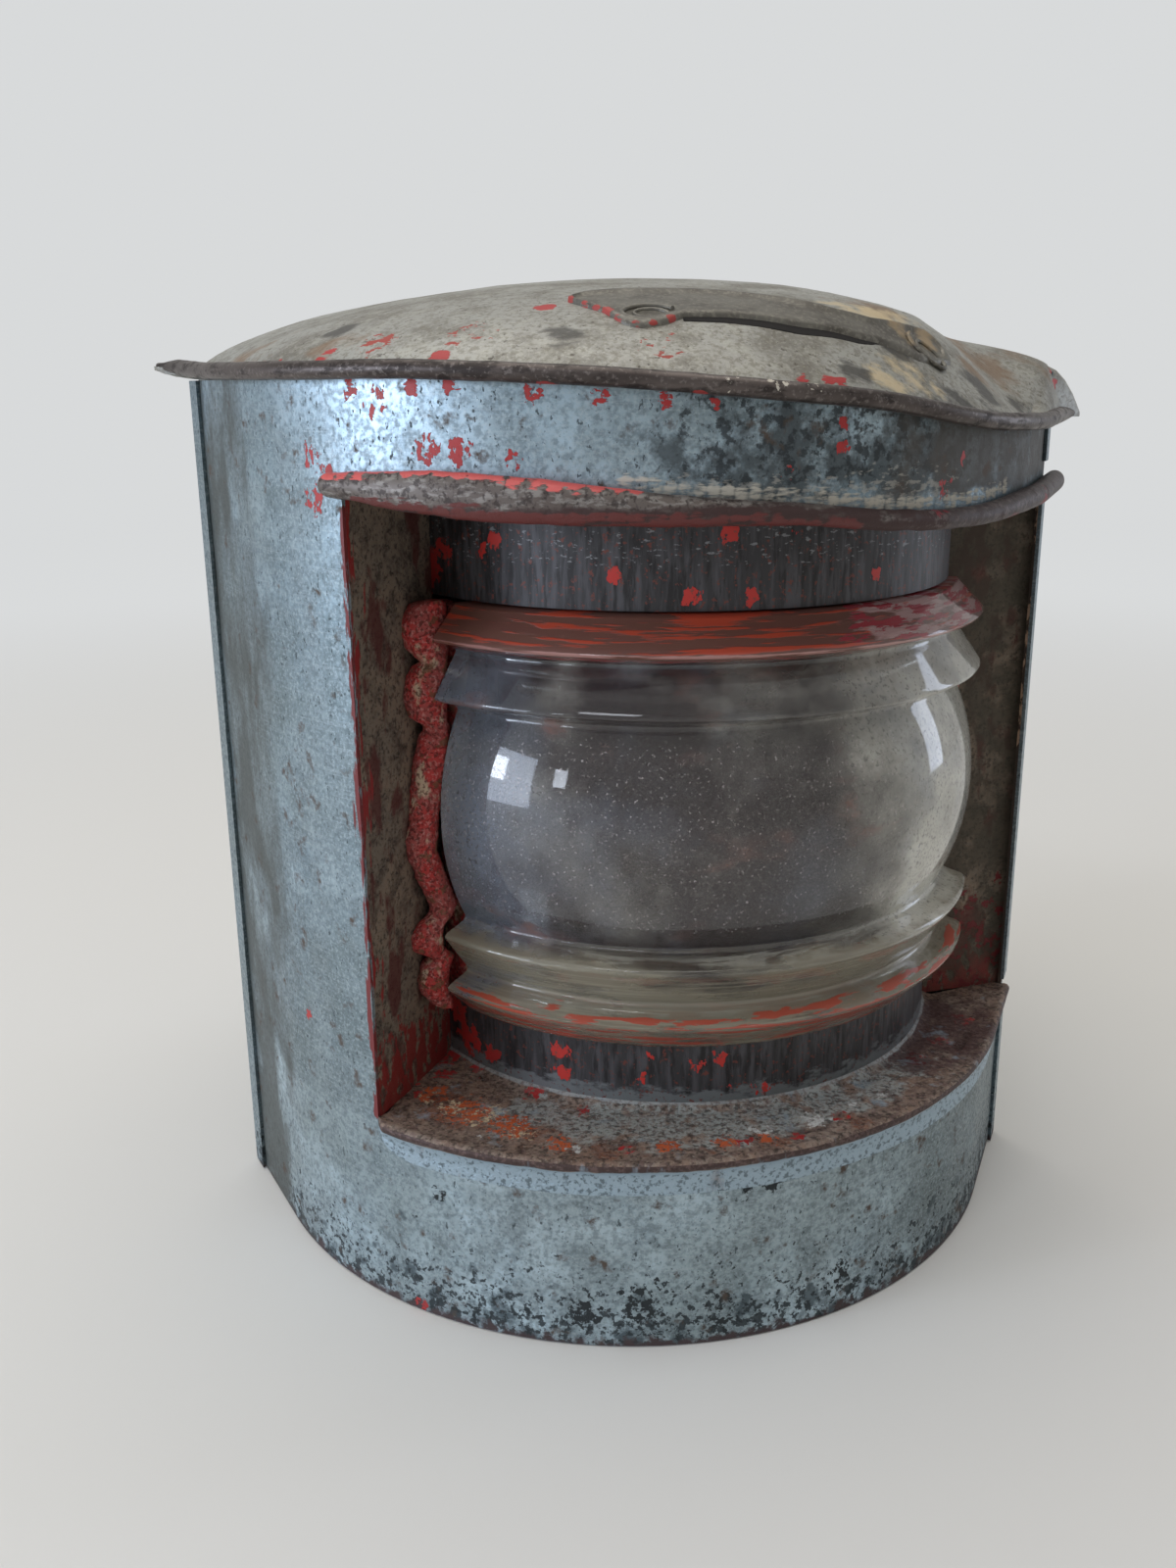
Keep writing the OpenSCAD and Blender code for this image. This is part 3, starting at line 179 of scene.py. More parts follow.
# %% Rolled edges, and a smooth step
def sweep(name, centres, outs, section, material, scales, body="case"):
    """A section of (out, up) points, swept along a path of centres, with closed ends."""
    n = len(section)
    verts = [np.append(np.array(c[:2]) + o * u * k[0], c[2] + v * k[1])
             for c, o, k in zip(centres, outs, scales) for u, v in section]
    faces = [(i * n + j, i * n + (j + 1) % n, (i + 1) * n + (j + 1) % n, (i + 1) * n + j)
             for i in range(len(centres) - 1) for j in range(n)]
    faces += [tuple(range(n)), tuple(range(len(verts) - n, len(verts)))]
    return new_piece(name, verts, faces, material, body, crease=60)


def ease(x, low, high):
    """0 below low, 1 above high, and a smooth rise between them."""
    t = np.clip((np.asarray(x, float) - low) / (high - low), 0, 1)
    return t * t * (3 - 2 * t)


print("a smooth step from 0 to 1 is", round(float(ease(0.25, 0, 1)), 3), "at a quarter")

# %% [markdown]
# ## The plan of the case
#
# Everything on this lamp follows one plan: a round front, two short flanks that leave it at a
# tangent, and two flat backs. These functions give that outline moved out by a distance, and
# points on it by their length along the sheet from straight ahead. Drawing each piece on its
# own would be quicker to start, but then no two edges would meet. Old hand-made sheet is never
# quite even, so one more function gives a smooth unevenness from a few fixed waves.

# %% Outline of the case
# All in mm. HALF is how far the round front goes to either side, and BACK_D is how far the
# backs are from the axis of the front.
FRONT_R, HALF, BACK_D = 110.0, math.radians(64), 71.0
SHEET, CASE_H, SHELF_Z = 1.0, 231.0, 52.0
LENS_X, LENS_Y, LENS_Z = 12.0, -10.0, 124.5


def ahead(a):
    """The unit vector in the direction a, counted from straight ahead, positive to the right."""
    return np.array([math.sin(a), -math.cos(a)])


FLANK = np.array([math.cos(HALF), math.sin(HALF)])


def corner(d, e):
    """Where the right flank, moved out by d, meets its back, moved out by e."""
    reach = FRONT_R + d + math.sqrt(2) * (BACK_D + e) * math.cos(HALF)
    x = reach / (math.sin(HALF) + math.cos(HALF))
    return np.array([x, math.sqrt(2) * (BACK_D + e) - x])


FLANK_L = float(np.linalg.norm(corner(0, 0) - FRONT_R * ahead(HALF)))
FRONT_L = FRONT_R * HALF + FLANK_L


def outward(u):
    """The direction square to the front or flank at the length u."""
    a = max(-HALF, min(HALF, u / FRONT_R))
    return ahead(a)


def on_front(u, d):
    """The point at the length u along the front, moved out by d."""
    if abs(u) <= FRONT_R * HALF:
        return (FRONT_R + d) * ahead(u / FRONT_R)
    past = (abs(u) - FRONT_R * HALF) * FLANK
    return (FRONT_R + d) * outward(u) + past * np.array([math.copysign(1, u), 1])


print("flank", round(FLANK_L, 1), "mm, half of the front", round(FRONT_L, 1), "mm")


# %% Closed outlines and unevenness
def loop(d, e, tip=None, tip_l=9.01):
    """Points all the way round the outline, with its corners drawn out to tip if it is given."""
    right = [on_front(u, d) for u in np.linspace(0, FRONT_R * HALF, 60)]
    end = corner(d, e)
    if tip is None:
        right.append(end)
    else:
        right += [end - tip_l * FLANK, corner(tip, e) - 0.8 * tip_l * FLANK, corner(tip, e)]
    right.append(np.array([0, math.sqrt(2) * (BACK_D + e)]))
    return np.array(right + [np.array([-p[0], p[1]]) for p in right[-2:0:-1]])


def reach(points, a):
    """How far it is from the axis to a closed line of points in the direction a."""
    way = ahead(a)
    p, q = points, np.roll(points, -1, axis=0)
    side_p = p[:, 0] * way[1] - p[:, 1] * way[0]
    side_q = q[:, 0] * way[1] - q[:, 1] * way[0]
    best = 0.0
    for k in np.nonzero((side_p <= 0) != (side_q <= 0))[0]:
        t = side_p[k] / (side_p[k] - side_q[k])
        best = max(best, float((p[k] + t * (q[k] - p[k])) @ way))
    return best


# Each wave has a direction (a, b) and a phase, drawn once from a fixed seed. Each is finer and
# lower than the one before it.
waves = np.random.default_rng(7).uniform(-1, 1, (12, 4))[:, :3]
LEVELLED = 2.6    # the sum of the waves, divided by this, stays within about -1 and 1


def wobble(x, y, size):
    """Smooth unevenness between about -1 and 1, with bumps about size mm wide."""
    total = 0.0
    for k, (a, b, phase) in enumerate(waves):
        finer = 1 + 0.3 * k
        total += np.sin((a * x + b * y) * finer * 4 / size + phase * 20) / finer
    return total / LEVELLED


print("the outline is", round(2 * corner(0, 0)[0], 1), "mm wide, in", len(loop(0, 0)), "points")

# %% [markdown]
# ## Floor, backdrop and light
#
# The floor is a pale disc, and the wall curves up from its rim all the way round, so no line
# cuts the picture from any side. A large soft lamp stands to the left as a window would. Two
# small bright panes stand in front of it and a long low one higher up, and their shapes show
# on the curved glass. A narrow lamp stands on the right, and a large soft one hangs above. None
# of them is seen by the camera itself.
#
# A white room could be had with stronger lamps, but they would bleach the lamp too. Light Path
# is the better way: floor, wall and air look bright to the camera, through glass and, less so,
# in reflections, while they give the object only a plain light. The floor begins to glow a
# little way out, and keeps the shadow close to the lamp.

# %% How bright the room looks
IN_REFLECTIONS = 0.3
GLOW_FROM, GLOW_FULL, GLOW_MOST = 0.2, 1.3, 0.93    # metres from the lamp, metres, share


def brightly_seen(tree):
    """1 for rays from the camera or through glass, less for mirrored ones, 0 for the light."""
    rays = add(tree, "LightPath")
    mirrored = add(tree, "Math", {0: rays.outputs["Is Glossy Ray"], 1: IN_REFLECTIONS},
                   operation="MULTIPLY")
    through = add(tree, "Math", {0: rays.outputs["Is Transmission Ray"], 1: mirrored.outputs[0]},
                  operation="MAXIMUM")
    return add(tree, "Math", {0: rays.outputs["Is Camera Ray"], 1: through.outputs[0]},
               operation="MAXIMUM").outputs[0]


def stage_paint():
    """Matt pale paint, which glows for the camera as it gets further from the lamp."""
    material, tree = new_material("pale_stage_paint")
    where = add(tree, "TexCoord").outputs["Object"]
    away = add(tree, "VectorMath", {0: where}, operation="LENGTH")
    far = add(tree, "MapRange", {"Value": away.outputs["Value"], "From Min": GLOW_FROM,
                                 "From Max": GLOW_FULL, "To Max": GLOW_MOST},
              interpolation_type="SMOOTHSTEP")
    glow = add(tree, "Math", {0: far.outputs[0], 1: brightly_seen(tree)}, operation="MULTIPLY")
    paint = add(tree, "BsdfDiffuse", {"Color": hex_colour("#E2E1DE")})
    pale = add(tree, "Emission", {"Color": hex_colour("#DBDDDE"), "Strength": 1.0})
    mixed = add(tree, "MixShader", {0: glow.outputs[0], 1: paint.outputs[0], 2: pale.outputs[0]})
    add(tree, "OutputMaterial", {"Surface": mixed.outputs[0]})
    return material


print("mirrored, the room looks", IN_REFLECTIONS, "times as bright as it does to the camera")

# %% Floor and wall
# All in mm. The floor lies a hair under the lamp, so that no two faces are in one plane.
FLOOR_R, CURVE_R, WALL_H, UNDER, STEPS = 2000, 600, 3200, 0.4, 96
turns = [2 * math.pi * k / STEPS for k in range(STEPS)]
rim = [(FLOOR_R * math.cos(t), FLOOR_R * math.sin(t), -UNDER) for t in turns]
floor = new_piece("pale_floor", rim, [tuple(range(STEPS))], stage_paint(), body=None)
profile = [(FLOOR_R + CURVE_R * math.sin(t), CURVE_R - CURVE_R * math.cos(t))
           for t in np.linspace(0, math.pi / 2, 20)] + [(FLOOR_R + CURVE_R, WALL_H)]
verts = [(r * math.cos(t), r * math.sin(t), z - UNDER) for r, z in profile for t in turns]
faces = [(i * STEPS + k, i * STEPS + (k + 1) % STEPS, (i + 1) * STEPS + (k + 1) % STEPS,
          (i + 1) * STEPS + k)
         for i in range(len(profile) - 1) for k in range(STEPS)]
wall = new_piece("pale_wall", verts, faces, floor.data.materials[0], body=None)
wall.visible_diffuse = wall.visible_shadow = False


# %% Lamps
def soft_lamp(name, place, target, size, watts, colour):
    """A rectangle of light, in metres and watts, that the camera doesn't see."""
    light = bpy.data.lights.new(name, "AREA")
    light.shape = "RECTANGLE"
    light.size, light.size_y = size
    light.energy = watts
    light.color = hex_colour(colour)[:3]
    made = bpy.data.objects.new(name, light)
    bpy.context.collection.objects.link(made)
    made.visible_camera = False
    made.location = Vector(place)
    made.rotation_euler = (Vector(target) - made.location).to_track_quat("-Z", "Y").to_euler()


MID_LAMP = (0, 0, 0.13)    # all but the ceiling light aim at the middle of the lens
soft_lamp("window_light", (-1.62, -0.60, 0.36), MID_LAMP, (0.9, 0.7), 13.5, "#D6E3F8")
soft_lamp("left_pane", (-1.54, -0.57, 0.44), MID_LAMP, (0.2, 0.28), 3.2, "#E6F0FF")
soft_lamp("front_pane", (-1.16, -1.18, 0.48), MID_LAMP, (0.14, 0.24), 1.2, "#E6F0FF")
soft_lamp("upper_pane", (-0.55, -0.95, 1.25), MID_LAMP, (0.5, 0.16), 2.0, "#F2F6FF")
soft_lamp("right_window", (1.35, 0.35, 0.35), MID_LAMP, (0.25, 0.8), 2.4, "#DDE9FF")
soft_lamp("ceiling_light", (-0.2, 0.1, 1.9), (0, 0, 0.1), (1.8, 1.8), 19, "#FFFBF4")
print("lamps:", ", ".join(light.name for light in bpy.data.lights))

# %% The room's air
AIR_LIGHT, AIR_SEEN = 0.36, 1.0    # what the air gives the lamp, and how bright it looks
world = bpy.data.worlds.new("room")
bpy.context.scene.world = world
world.use_nodes = True
room = world.node_tree
room.nodes.clear()
level = add(room, "MapRange", {"Value": brightly_seen(room), "To Min": AIR_LIGHT,
                               "To Max": AIR_SEEN})
air = add(room, "Background", {"Color": hex_colour("#F7F5F1"), "Strength": level.outputs[0]})
add(room, "OutputWorld", {"Surface": air.outputs[0]})
bpy.context.scene.view_settings.view_transform = "Standard"
print("the room's air is set, with", len(room.nodes), "nodes")

# %% [markdown]
# ## Finishes as layers
#
# The lamp has worn for a century, and wear comes in layers: bare zinc, then pits, dirt, rust
# and flakes of red paint on top. So one function builds a finish as a list of layers. Each
# layer has a colour and a pattern with the size of its marks in millimetres, and it can be
# kept to a height, a side or a few listed places. Towards the edge of its place the
# pattern is lowered, not faded, so marks get fewer and smaller but keep crisp edges. The same
# mask changes the colour, the roughness, the metal and the height, as a real flake does.
#
# A picture wrapped round each piece would be quicker, but it needs seams and stretches on a
# dome. Noise in Object coordinates, which are the lamp's own metres, has neither, and doesn't
# slide when a piece moves.
#
# In a layer, size is the width of its marks in mm, stretch makes them longer along x, y or z,
# and cut says between which levels of the noise, 0 to 1, a mark begins and is full. shift moves
# the pattern, so that no two layers have the same one. limits holds (axis, mm where it is gone,
# mm where it is full), places holds (x, y, z, radius) in mm, amount is how strongly it shows,
# and height is how far it stands proud, in mm.

# %% Where a layer shows
LOWERED = 0.4        # how far the noise is let down outside the places of a layer
FULL_WITHIN = 0.3    # share of a place's radius within which its layer is full


def spread(tree, where, layer):
    """Where one layer shows: 1 on its marks and 0 beside them."""
    stretch = layer.get("stretch", (1, 1, 1))
    shift = layer.get("shift", 0.0)
    place = add(tree, "Mapping", {"Vector": where, "Location": (shift, shift * 0.7, shift * 1.3),
                                  "Scale": [1 / (layer["size"] * MM * s) for s in stretch]})
    noise = add(tree, "TexNoise", {"Vector": place.outputs[0], "Scale": 1.0, "Detail": 5.0,
                                   "Roughness": 0.6})
    cover = None
    axes = add(tree, "SeparateXYZ", {0: where}) if layer.get("limits") else None
    for axis, gone, full in layer.get("limits", ()):
        fade = add(tree, "MapRange", {"Value": axes.outputs["XYZ".index(axis)],
                                      "From Min": gone * MM, "From Max": full * MM}).outputs[0]
        cover = fade if cover is None else add(tree, "Math", {0: cover, 1: fade},
                                               operation="MULTIPLY").outputs[0]
    spots = None
    for x, y, z, r in layer.get("places", ()):
        far = add(tree, "VectorMath", {0: where, 1: (x * MM, y * MM, z * MM)},
                  operation="DISTANCE")
        near = add(tree, "MapRange", {"Value": far.outputs["Value"], "From Min": r * MM,
                                      "From Max": FULL_WITHIN * r * MM}).outputs[0]
        spots = near if spots is None else add(tree, "Math", {0: spots, 1: near},
                                               operation="MAXIMUM").outputs[0]
    if spots is not None:
        cover = spots if cover is None else add(tree, "Math", {0: cover, 1: spots},
                                                operation="MULTIPLY").outputs[0]
    field = noise.outputs[0]
    if cover is not None:
        lowered = add(tree, "Math", {0: cover, 1: LOWERED, 2: -LOWERED},
                      operation="MULTIPLY_ADD")
        field = add(tree, "Math", {0: field, 1: lowered.outputs[0]}).outputs[0]
    low, high = layer["cut"]
    shown = add(tree, "MapRange", {"Value": field, "From Min": low, "From Max": high})
    return add(tree, "Math", {0: shown.outputs[0], 1: layer.get("amount", 1.0)},
               operation="MULTIPLY").outputs[0]


print("outside its places the noise of a layer is let down by", LOWERED)


# %% A finish from layers
def finish(name, colour, rough, metal, layers):
    """A surface made of layers on a ground. Heights are in millimetres."""
    # In a Mix node, socket 0 is the share. 2 and 3 are its two numbers, 6 and 7 its two colours.
    material, tree = new_material(name)
    where = add(tree, "TexCoord").outputs["Object"]
    tone, dull, bare, high = hex_colour(colour), rough, metal, 0.0
    for layer in layers:
        mask = spread(tree, where, layer)
        if "colour" in layer:
            tone = add(tree, "Mix", {0: mask, 6: tone, 7: hex_colour(layer["colour"])},
                       data_type="RGBA").outputs[2]
        if "rough" in layer:
            dull = add(tree, "Mix", {0: mask, 2: dull, 3: layer["rough"]}).outputs[0]
        if "metal" in layer:
            bare = add(tree, "Mix", {0: mask, 2: bare, 3: layer["metal"]}).outputs[0]
        if "height" in layer:
            high = add(tree, "Math", {0: mask, 1: layer["height"] * MM, 2: high},
                       operation="MULTIPLY_ADD").outputs[0]
    shader = add(tree, "BsdfPrincipled", {"Base Color": tone, "Roughness": dull,
                                          "Metallic": bare})
    if not isinstance(high, float):
        # The heights are real ones in metres, so a distance of 1 leaves them as they are.
        bump = add(tree, "Bump", {"Height": high, "Strength": 1.0, "Distance": 1.0})
        tree.links.new(bump.outputs[0], shader.inputs["Normal"])
    add(tree, "OutputMaterial", {"Surface": shader.outputs[0]})
    print(name, len(layers), "layers")
    return material


# %% [markdown]
# ## Galvanised sheet
#
# The case is hot-dipped galvanised steel, long since dull. To the eye that is blue-grey and
# grainy, with a broad sheen where it turns to the window, darker clouds where the zinc has
# gone matt, and small black pits that crowd towards the foot. Part of that sheen is painted
# highlight, on the foot towards the left and over the hood on the left, and the foot has
# painted shade towards the right. Zinc is a metal, but old zinc is chalky, so it is only
# partly metallic. The front also has flecks of the red paint that spilled past the recess, and
# white bloom of zinc along the hood.
#
# One even noise would look like stone. Zinc needs several sizes at once: clouds as wide as
# three fingers, smears, grain and pits, and each pit is dull, dark and sunk as well.

# %% Zinc on every sheet of the case
RED, DARK_RED = "#A92B2B", "#6E2021"

# Hot-dipped zinc on mild steel. Fresh zinc has a roughness of about 0.3 and is fully a metal.
# With age it is duller, 0.42, and 0.72 metal, so it reads as grey sheet with a wide sheen.
# Its crystals and pits are 0.1 to 0.5 mm wide. They are drawn 0.8 to 1.9 mm wide, so that
# they show from this far, and the brush marks, 0.9 mm apart, stand for finer ones too.
ZINC_LAYERS = [
    dict(size=55, cut=(0.38, 0.62), colour="#66726F", amount=0.6),
    dict(size=18, stretch=(1, 1, 3), cut=(0.44, 0.64), colour="#98A5AB", amount=0.35, rough=0.38),
    dict(size=8, cut=(0.46, 0.66), shift=3, colour="#59656A", amount=0.35),
    dict(size=1.5, cut=(0.44, 0.6), shift=4, colour="#5C686C", amount=0.55, rough=0.62,
         height=-0.012),
    dict(size=0.8, cut=(0.5, 0.64), shift=5, colour="#AEBBC1", amount=0.5, height=0.015),
    dict(size=0.9, stretch=(22, 22, 0.5), cut=(0.54, 0.66), shift=6, colour="#A9B5BA",
         amount=0.3),
    dict(size=1.1, stretch=(1, 1, 1.7), cut=(0.63, 0.66), shift=9, colour="#333E42",
         amount=0.85, rough=0.75, metal=0.1, height=-0.05),
    dict(size=7, cut=(0.52, 0.62), shift=13, colour="#38444A", amount=0.75, rough=0.65,
         limits=[("Z", 75, 5)]),
    dict(size=1.9, cut=(0.53, 0.57), shift=17, colour="#232C30", amount=0.95, rough=0.8,
         metal=0.0, height=-0.06, limits=[("Z", 75, 6)]),
    dict(size=3.4, cut=(0.54, 0.565), shift=19, colour="#1F282C", amount=0.9, rough=0.8,
         metal=0.0, height=-0.08, limits=[("Z", 48, 4)]),
    dict(size=3.5, cut=(0.34, 0.5), shift=21, colour="#473A3B", rough=0.8, metal=0.1,
         limits=[("Z", 5.0, 0.3)]),
]
zinc = finish("weathered_galvanised_sheet", "#8295A0", 0.42, 0.72, ZINC_LAYERS)


# %% Marks on the front
def beside(us, heights, d, r):
    """Overlapping places of radius r along the front. heights holds (length, height) pairs."""
    at, z = zip(*heights)
    return [(*on_front(u, d), float(np.interp(u, at, z)), r) for u in us]


# The upper edge of the hood as (length along the front, height), and the white bloom over it.
HOOD_TOP = [(-75, 211.4), (-57, 212.1), (-41, 211.9), (-23, 210.7), (-9, 208.7), (7, 206.9),
            (24, 205.4), (36, 204.2), (52, 202.5), (70, 201.8), (85, 202.5), (110, 204.4)]
ABOVE_HOOD = [(u, z + 1.4) for u, z in HOOD_TOP]

# From the left flank on: a grey cloud, dirt over the hood, its white bloom, flakes and runs of
# red paint, white salts and black pits at the foot, and the brown flank on the right. Drops of
# paint and salts are drawn 1.4 to 2 mm wide, though many of the real ones are finer.
FRONT_MARKS = [
    dict(size=20, stretch=(1, 1, 2), cut=(0.3, 0.5), shift=29, colour="#4C4E49", amount=0.8,
         rough=0.6, limits=[("X", -86, -104)]),
    dict(size=9, cut=(0.42, 0.54), shift=31, colour="#3F4649", amount=0.85, rough=0.6, metal=0.25,
         limits=[("Z", 202, 206), ("X", -40, 5)]),
    dict(size=2.4, cut=(0.5, 0.58), shift=37, colour="#23292D", amount=0.85, rough=0.7,
         metal=0.1, limits=[("Z", 204, 210), ("X", -45, 10)]),
    dict(size=14, cut=(0.32, 0.5), shift=41, colour="#4A4641", amount=0.85, rough=0.65,
         metal=0.15, limits=[("X", 25, 62), ("Z", 200, 206)]),
    dict(size=1.1, stretch=(2.5, 2.5, 1), cut=(0.5, 0.58), shift=43, colour="#B5B2A9", amount=0.5,
         rough=0.85, metal=0.0, limits=[("Z", 222, 208), ("Z", 201, 204), ("X", -30, 0),
                                        ("X", 100, 60)]),
    dict(size=1.0, stretch=(5, 5, 1), cut=(0.4, 0.56), shift=45, colour="#CFC9BB", rough=0.9,
         metal=0.0, amount=0.9, height=0.08, places=beside(range(-8, 100, 3), ABOVE_HOOD, 0, 3.4)),
    dict(size=1.9, stretch=(1, 1, 1.5), cut=(0.5, 0.52), shift=51, colour=RED, rough=0.5,
         metal=0.0, height=0.08, places=[
             (-76, -79, 214, 8), (-76, -79, 205, 9), (-72, -83, 210, 8), (-49, -98, 216, 8),
             (-42, -101, 216, 7), (38, -103, 216, 4), (26, -107, 211, 4), (38, -103, 221, 3),
             (65, -89, 206, 6), (70, -85, 212, 4), (-60, -92, 226, 7), (-31, -105, 214, 5)]),
    dict(size=1.4, stretch=(1.4, 1.4, 1), cut=(0.46, 0.48), shift=57, colour=RED, rough=0.5,
         metal=0.0, height=0.08, places=[
             (-66, -88, 229, 5), (-52, -97, 229, 4), (-44, -101, 229, 4), (-27, -106, 228, 5),
             (-13, -109, 227, 4), (0, -110, 226, 3.5), (10, -109, 225, 3)]),
    dict(size=2.0, stretch=(1, 1, 6), cut=(0.45, 0.49), shift=61, colour=DARK_RED, rough=0.55,
         metal=0.0, height=0.06, limits=[("X", -72.6, -69.8), ("X", 0, -20), ("Z", 206, 203),
                                         ("Z", 50, 53)]),
    dict(size=1.7, cut=(0.47, 0.49), shift=67, colour=RED, rough=0.5, metal=0.0, height=0.08,
         places=[(30, -106, 47, 4), (-8, -110, 46, 3), (-66, -88, 57, 5), (-60, -92, 2, 4),
                 (-88, -66, 72, 4), (40, -103, 46, 3.5)]),
    dict(size=1.6, stretch=(2, 2, 1), cut=(0.5, 0.53), shift=71, colour="#CDD2D2", rough=0.8,
         metal=0.0, places=[(-40, -103, 46, 6), (-48, -100, 45, 6), (25, -107, 47, 7),
                            (38, -104, 46, 5), (-10, -110, 46, 6)]),
    dict(size=2.2, cut=(0.5, 0.52), shift=73, colour="#20272A", rough=0.8, metal=0.0,
         height=-0.08, places=[(20, -108, 43, 8), (28, -107, 42, 6), (-54, -96, 36, 6),
                               (-18, -109, 9, 12), (-4, -110, 12, 14), (14, -109, 8, 12),
                               (46, -100, 10, 9)]),
    dict(size=6, cut=(0.2, 0.3), shift=79, colour="#4E4239", rough=0.7, metal=0.1,
         limits=[("X", 108.6, 109.6), ("Z", 51, 53), ("Z", 204, 202)]),
    dict(size=1.6, stretch=(1, 1, 4), cut=(0.5, 0.54), shift=83, colour="#C9A98E", rough=0.8,
         metal=0.0, limits=[("X", 109.4, 110.4), ("Z", 110, 130), ("Z", 204, 202)]),
]

# Three broad fields of painted light, which lie under all the other marks: painted highlight
# on the foot towards the left and over the hood on the left, and painted shade on the foot
# towards the right.
PAINTED_SHEEN_AND_SHADE = [
    dict(size=30, cut=(0.1, 0.3), shift=89, colour="#C2D6E0", amount=0.95,
         limits=[("Z", 53, 47), ("X", 96, 20)]),
    dict(size=30, cut=(0.1, 0.3), shift=91, colour="#B4CBDA", amount=0.9,
         limits=[("Z", 206, 212), ("X", 30, -10)]),
    dict(size=14, cut=(0.1, 0.4), shift=93, colour="#545C5F", amount=0.7,
         limits=[("X", 48, 100), ("Z", 53, 47)]),
]
zinc_front = finish("galvanised_front_flecks_and_painted_light", "#8295A0", 0.42, 0.72,
                    PAINTED_SHEEN_AND_SHADE + ZINC_LAYERS + FRONT_MARKS)
print("zinc layers:", len(ZINC_LAYERS), "and front marks:", len(PAINTED_SHEEN_AND_SHADE + FRONT_MARKS))

# %% [markdown]
# ## Painted and rusty sheet
#
# The hood, the shelf and the two screens were painted red with a brush. Most of the paint has
# gone, and grainy brown rust and grey dirt show between the flakes. A flake has an edge, so
# each one stands 0.1 mm proud. The lid was painted too, and is now an olive grey that shines
# softly where hands have rubbed it.
#
# Paint could be a material of its own, mixed in by a mask. Layers on one shader give the same
# with fewer nodes, and colour, gloss and edge can't drift apart.

# %% Screens
# Mild steel sheet with brushed oil paint, nearly all of it rusted off. Rust is matt, 0.75, and
# hardly a metal, so the walls look dry and brown-grey, and the few flakes left look crisp.
# Rust grains of 0.2 mm are drawn 0.9 mm wide, or they would blur to a flat brown.
screen_finish = finish("screens_old_red_paint_on_rust", "#8C7A69", 0.75, 0.15, [
    dict(size=16, cut=(0.4, 0.62), colour="#776C60", amount=0.7),
    dict(size=5, cut=(0.46, 0.62), shift=3, colour="#3A302A", amount=0.7, height=-0.05),
    dict(size=0.9, cut=(0.48, 0.6), shift=5, colour="#847B6F", amount=0.55, height=0.04),
    dict(size=1.2, cut=(0.52, 0.62), shift=6, colour="#1E1815", amount=0.7, height=-0.05),
    dict(size=9, stretch=(1, 1, 2.2), cut=(0.53, 0.6), shift=7, colour="#57211F", amount=0.8),
    dict(size=3.0, stretch=(1, 1, 5), cut=(0.5, 0.53), shift=11, colour="#8F2523", rough=0.55,
         metal=0.0, height=0.1, limits=[("Y", -72, -84)]),
    dict(size=3, stretch=(1, 1, 2), cut=(0.42, 0.46), shift=19, colour="#8A2724", rough=0.6,
         height=0.1, limits=[("Z", 96, 58)], amount=0.9),
    dict(size=12, cut=(0.3, 0.5), shift=23, colour="#3C372C", rough=0.7, amount=0.8,
         limits=[("X", 60, 90)]),
    dict(size=3.4, cut=(0.54, 0.57), shift=27, colour="#6A2224", rough=0.6, height=0.1,
         limits=[("X", 60, 90), ("Z", 120, 80)]),
])

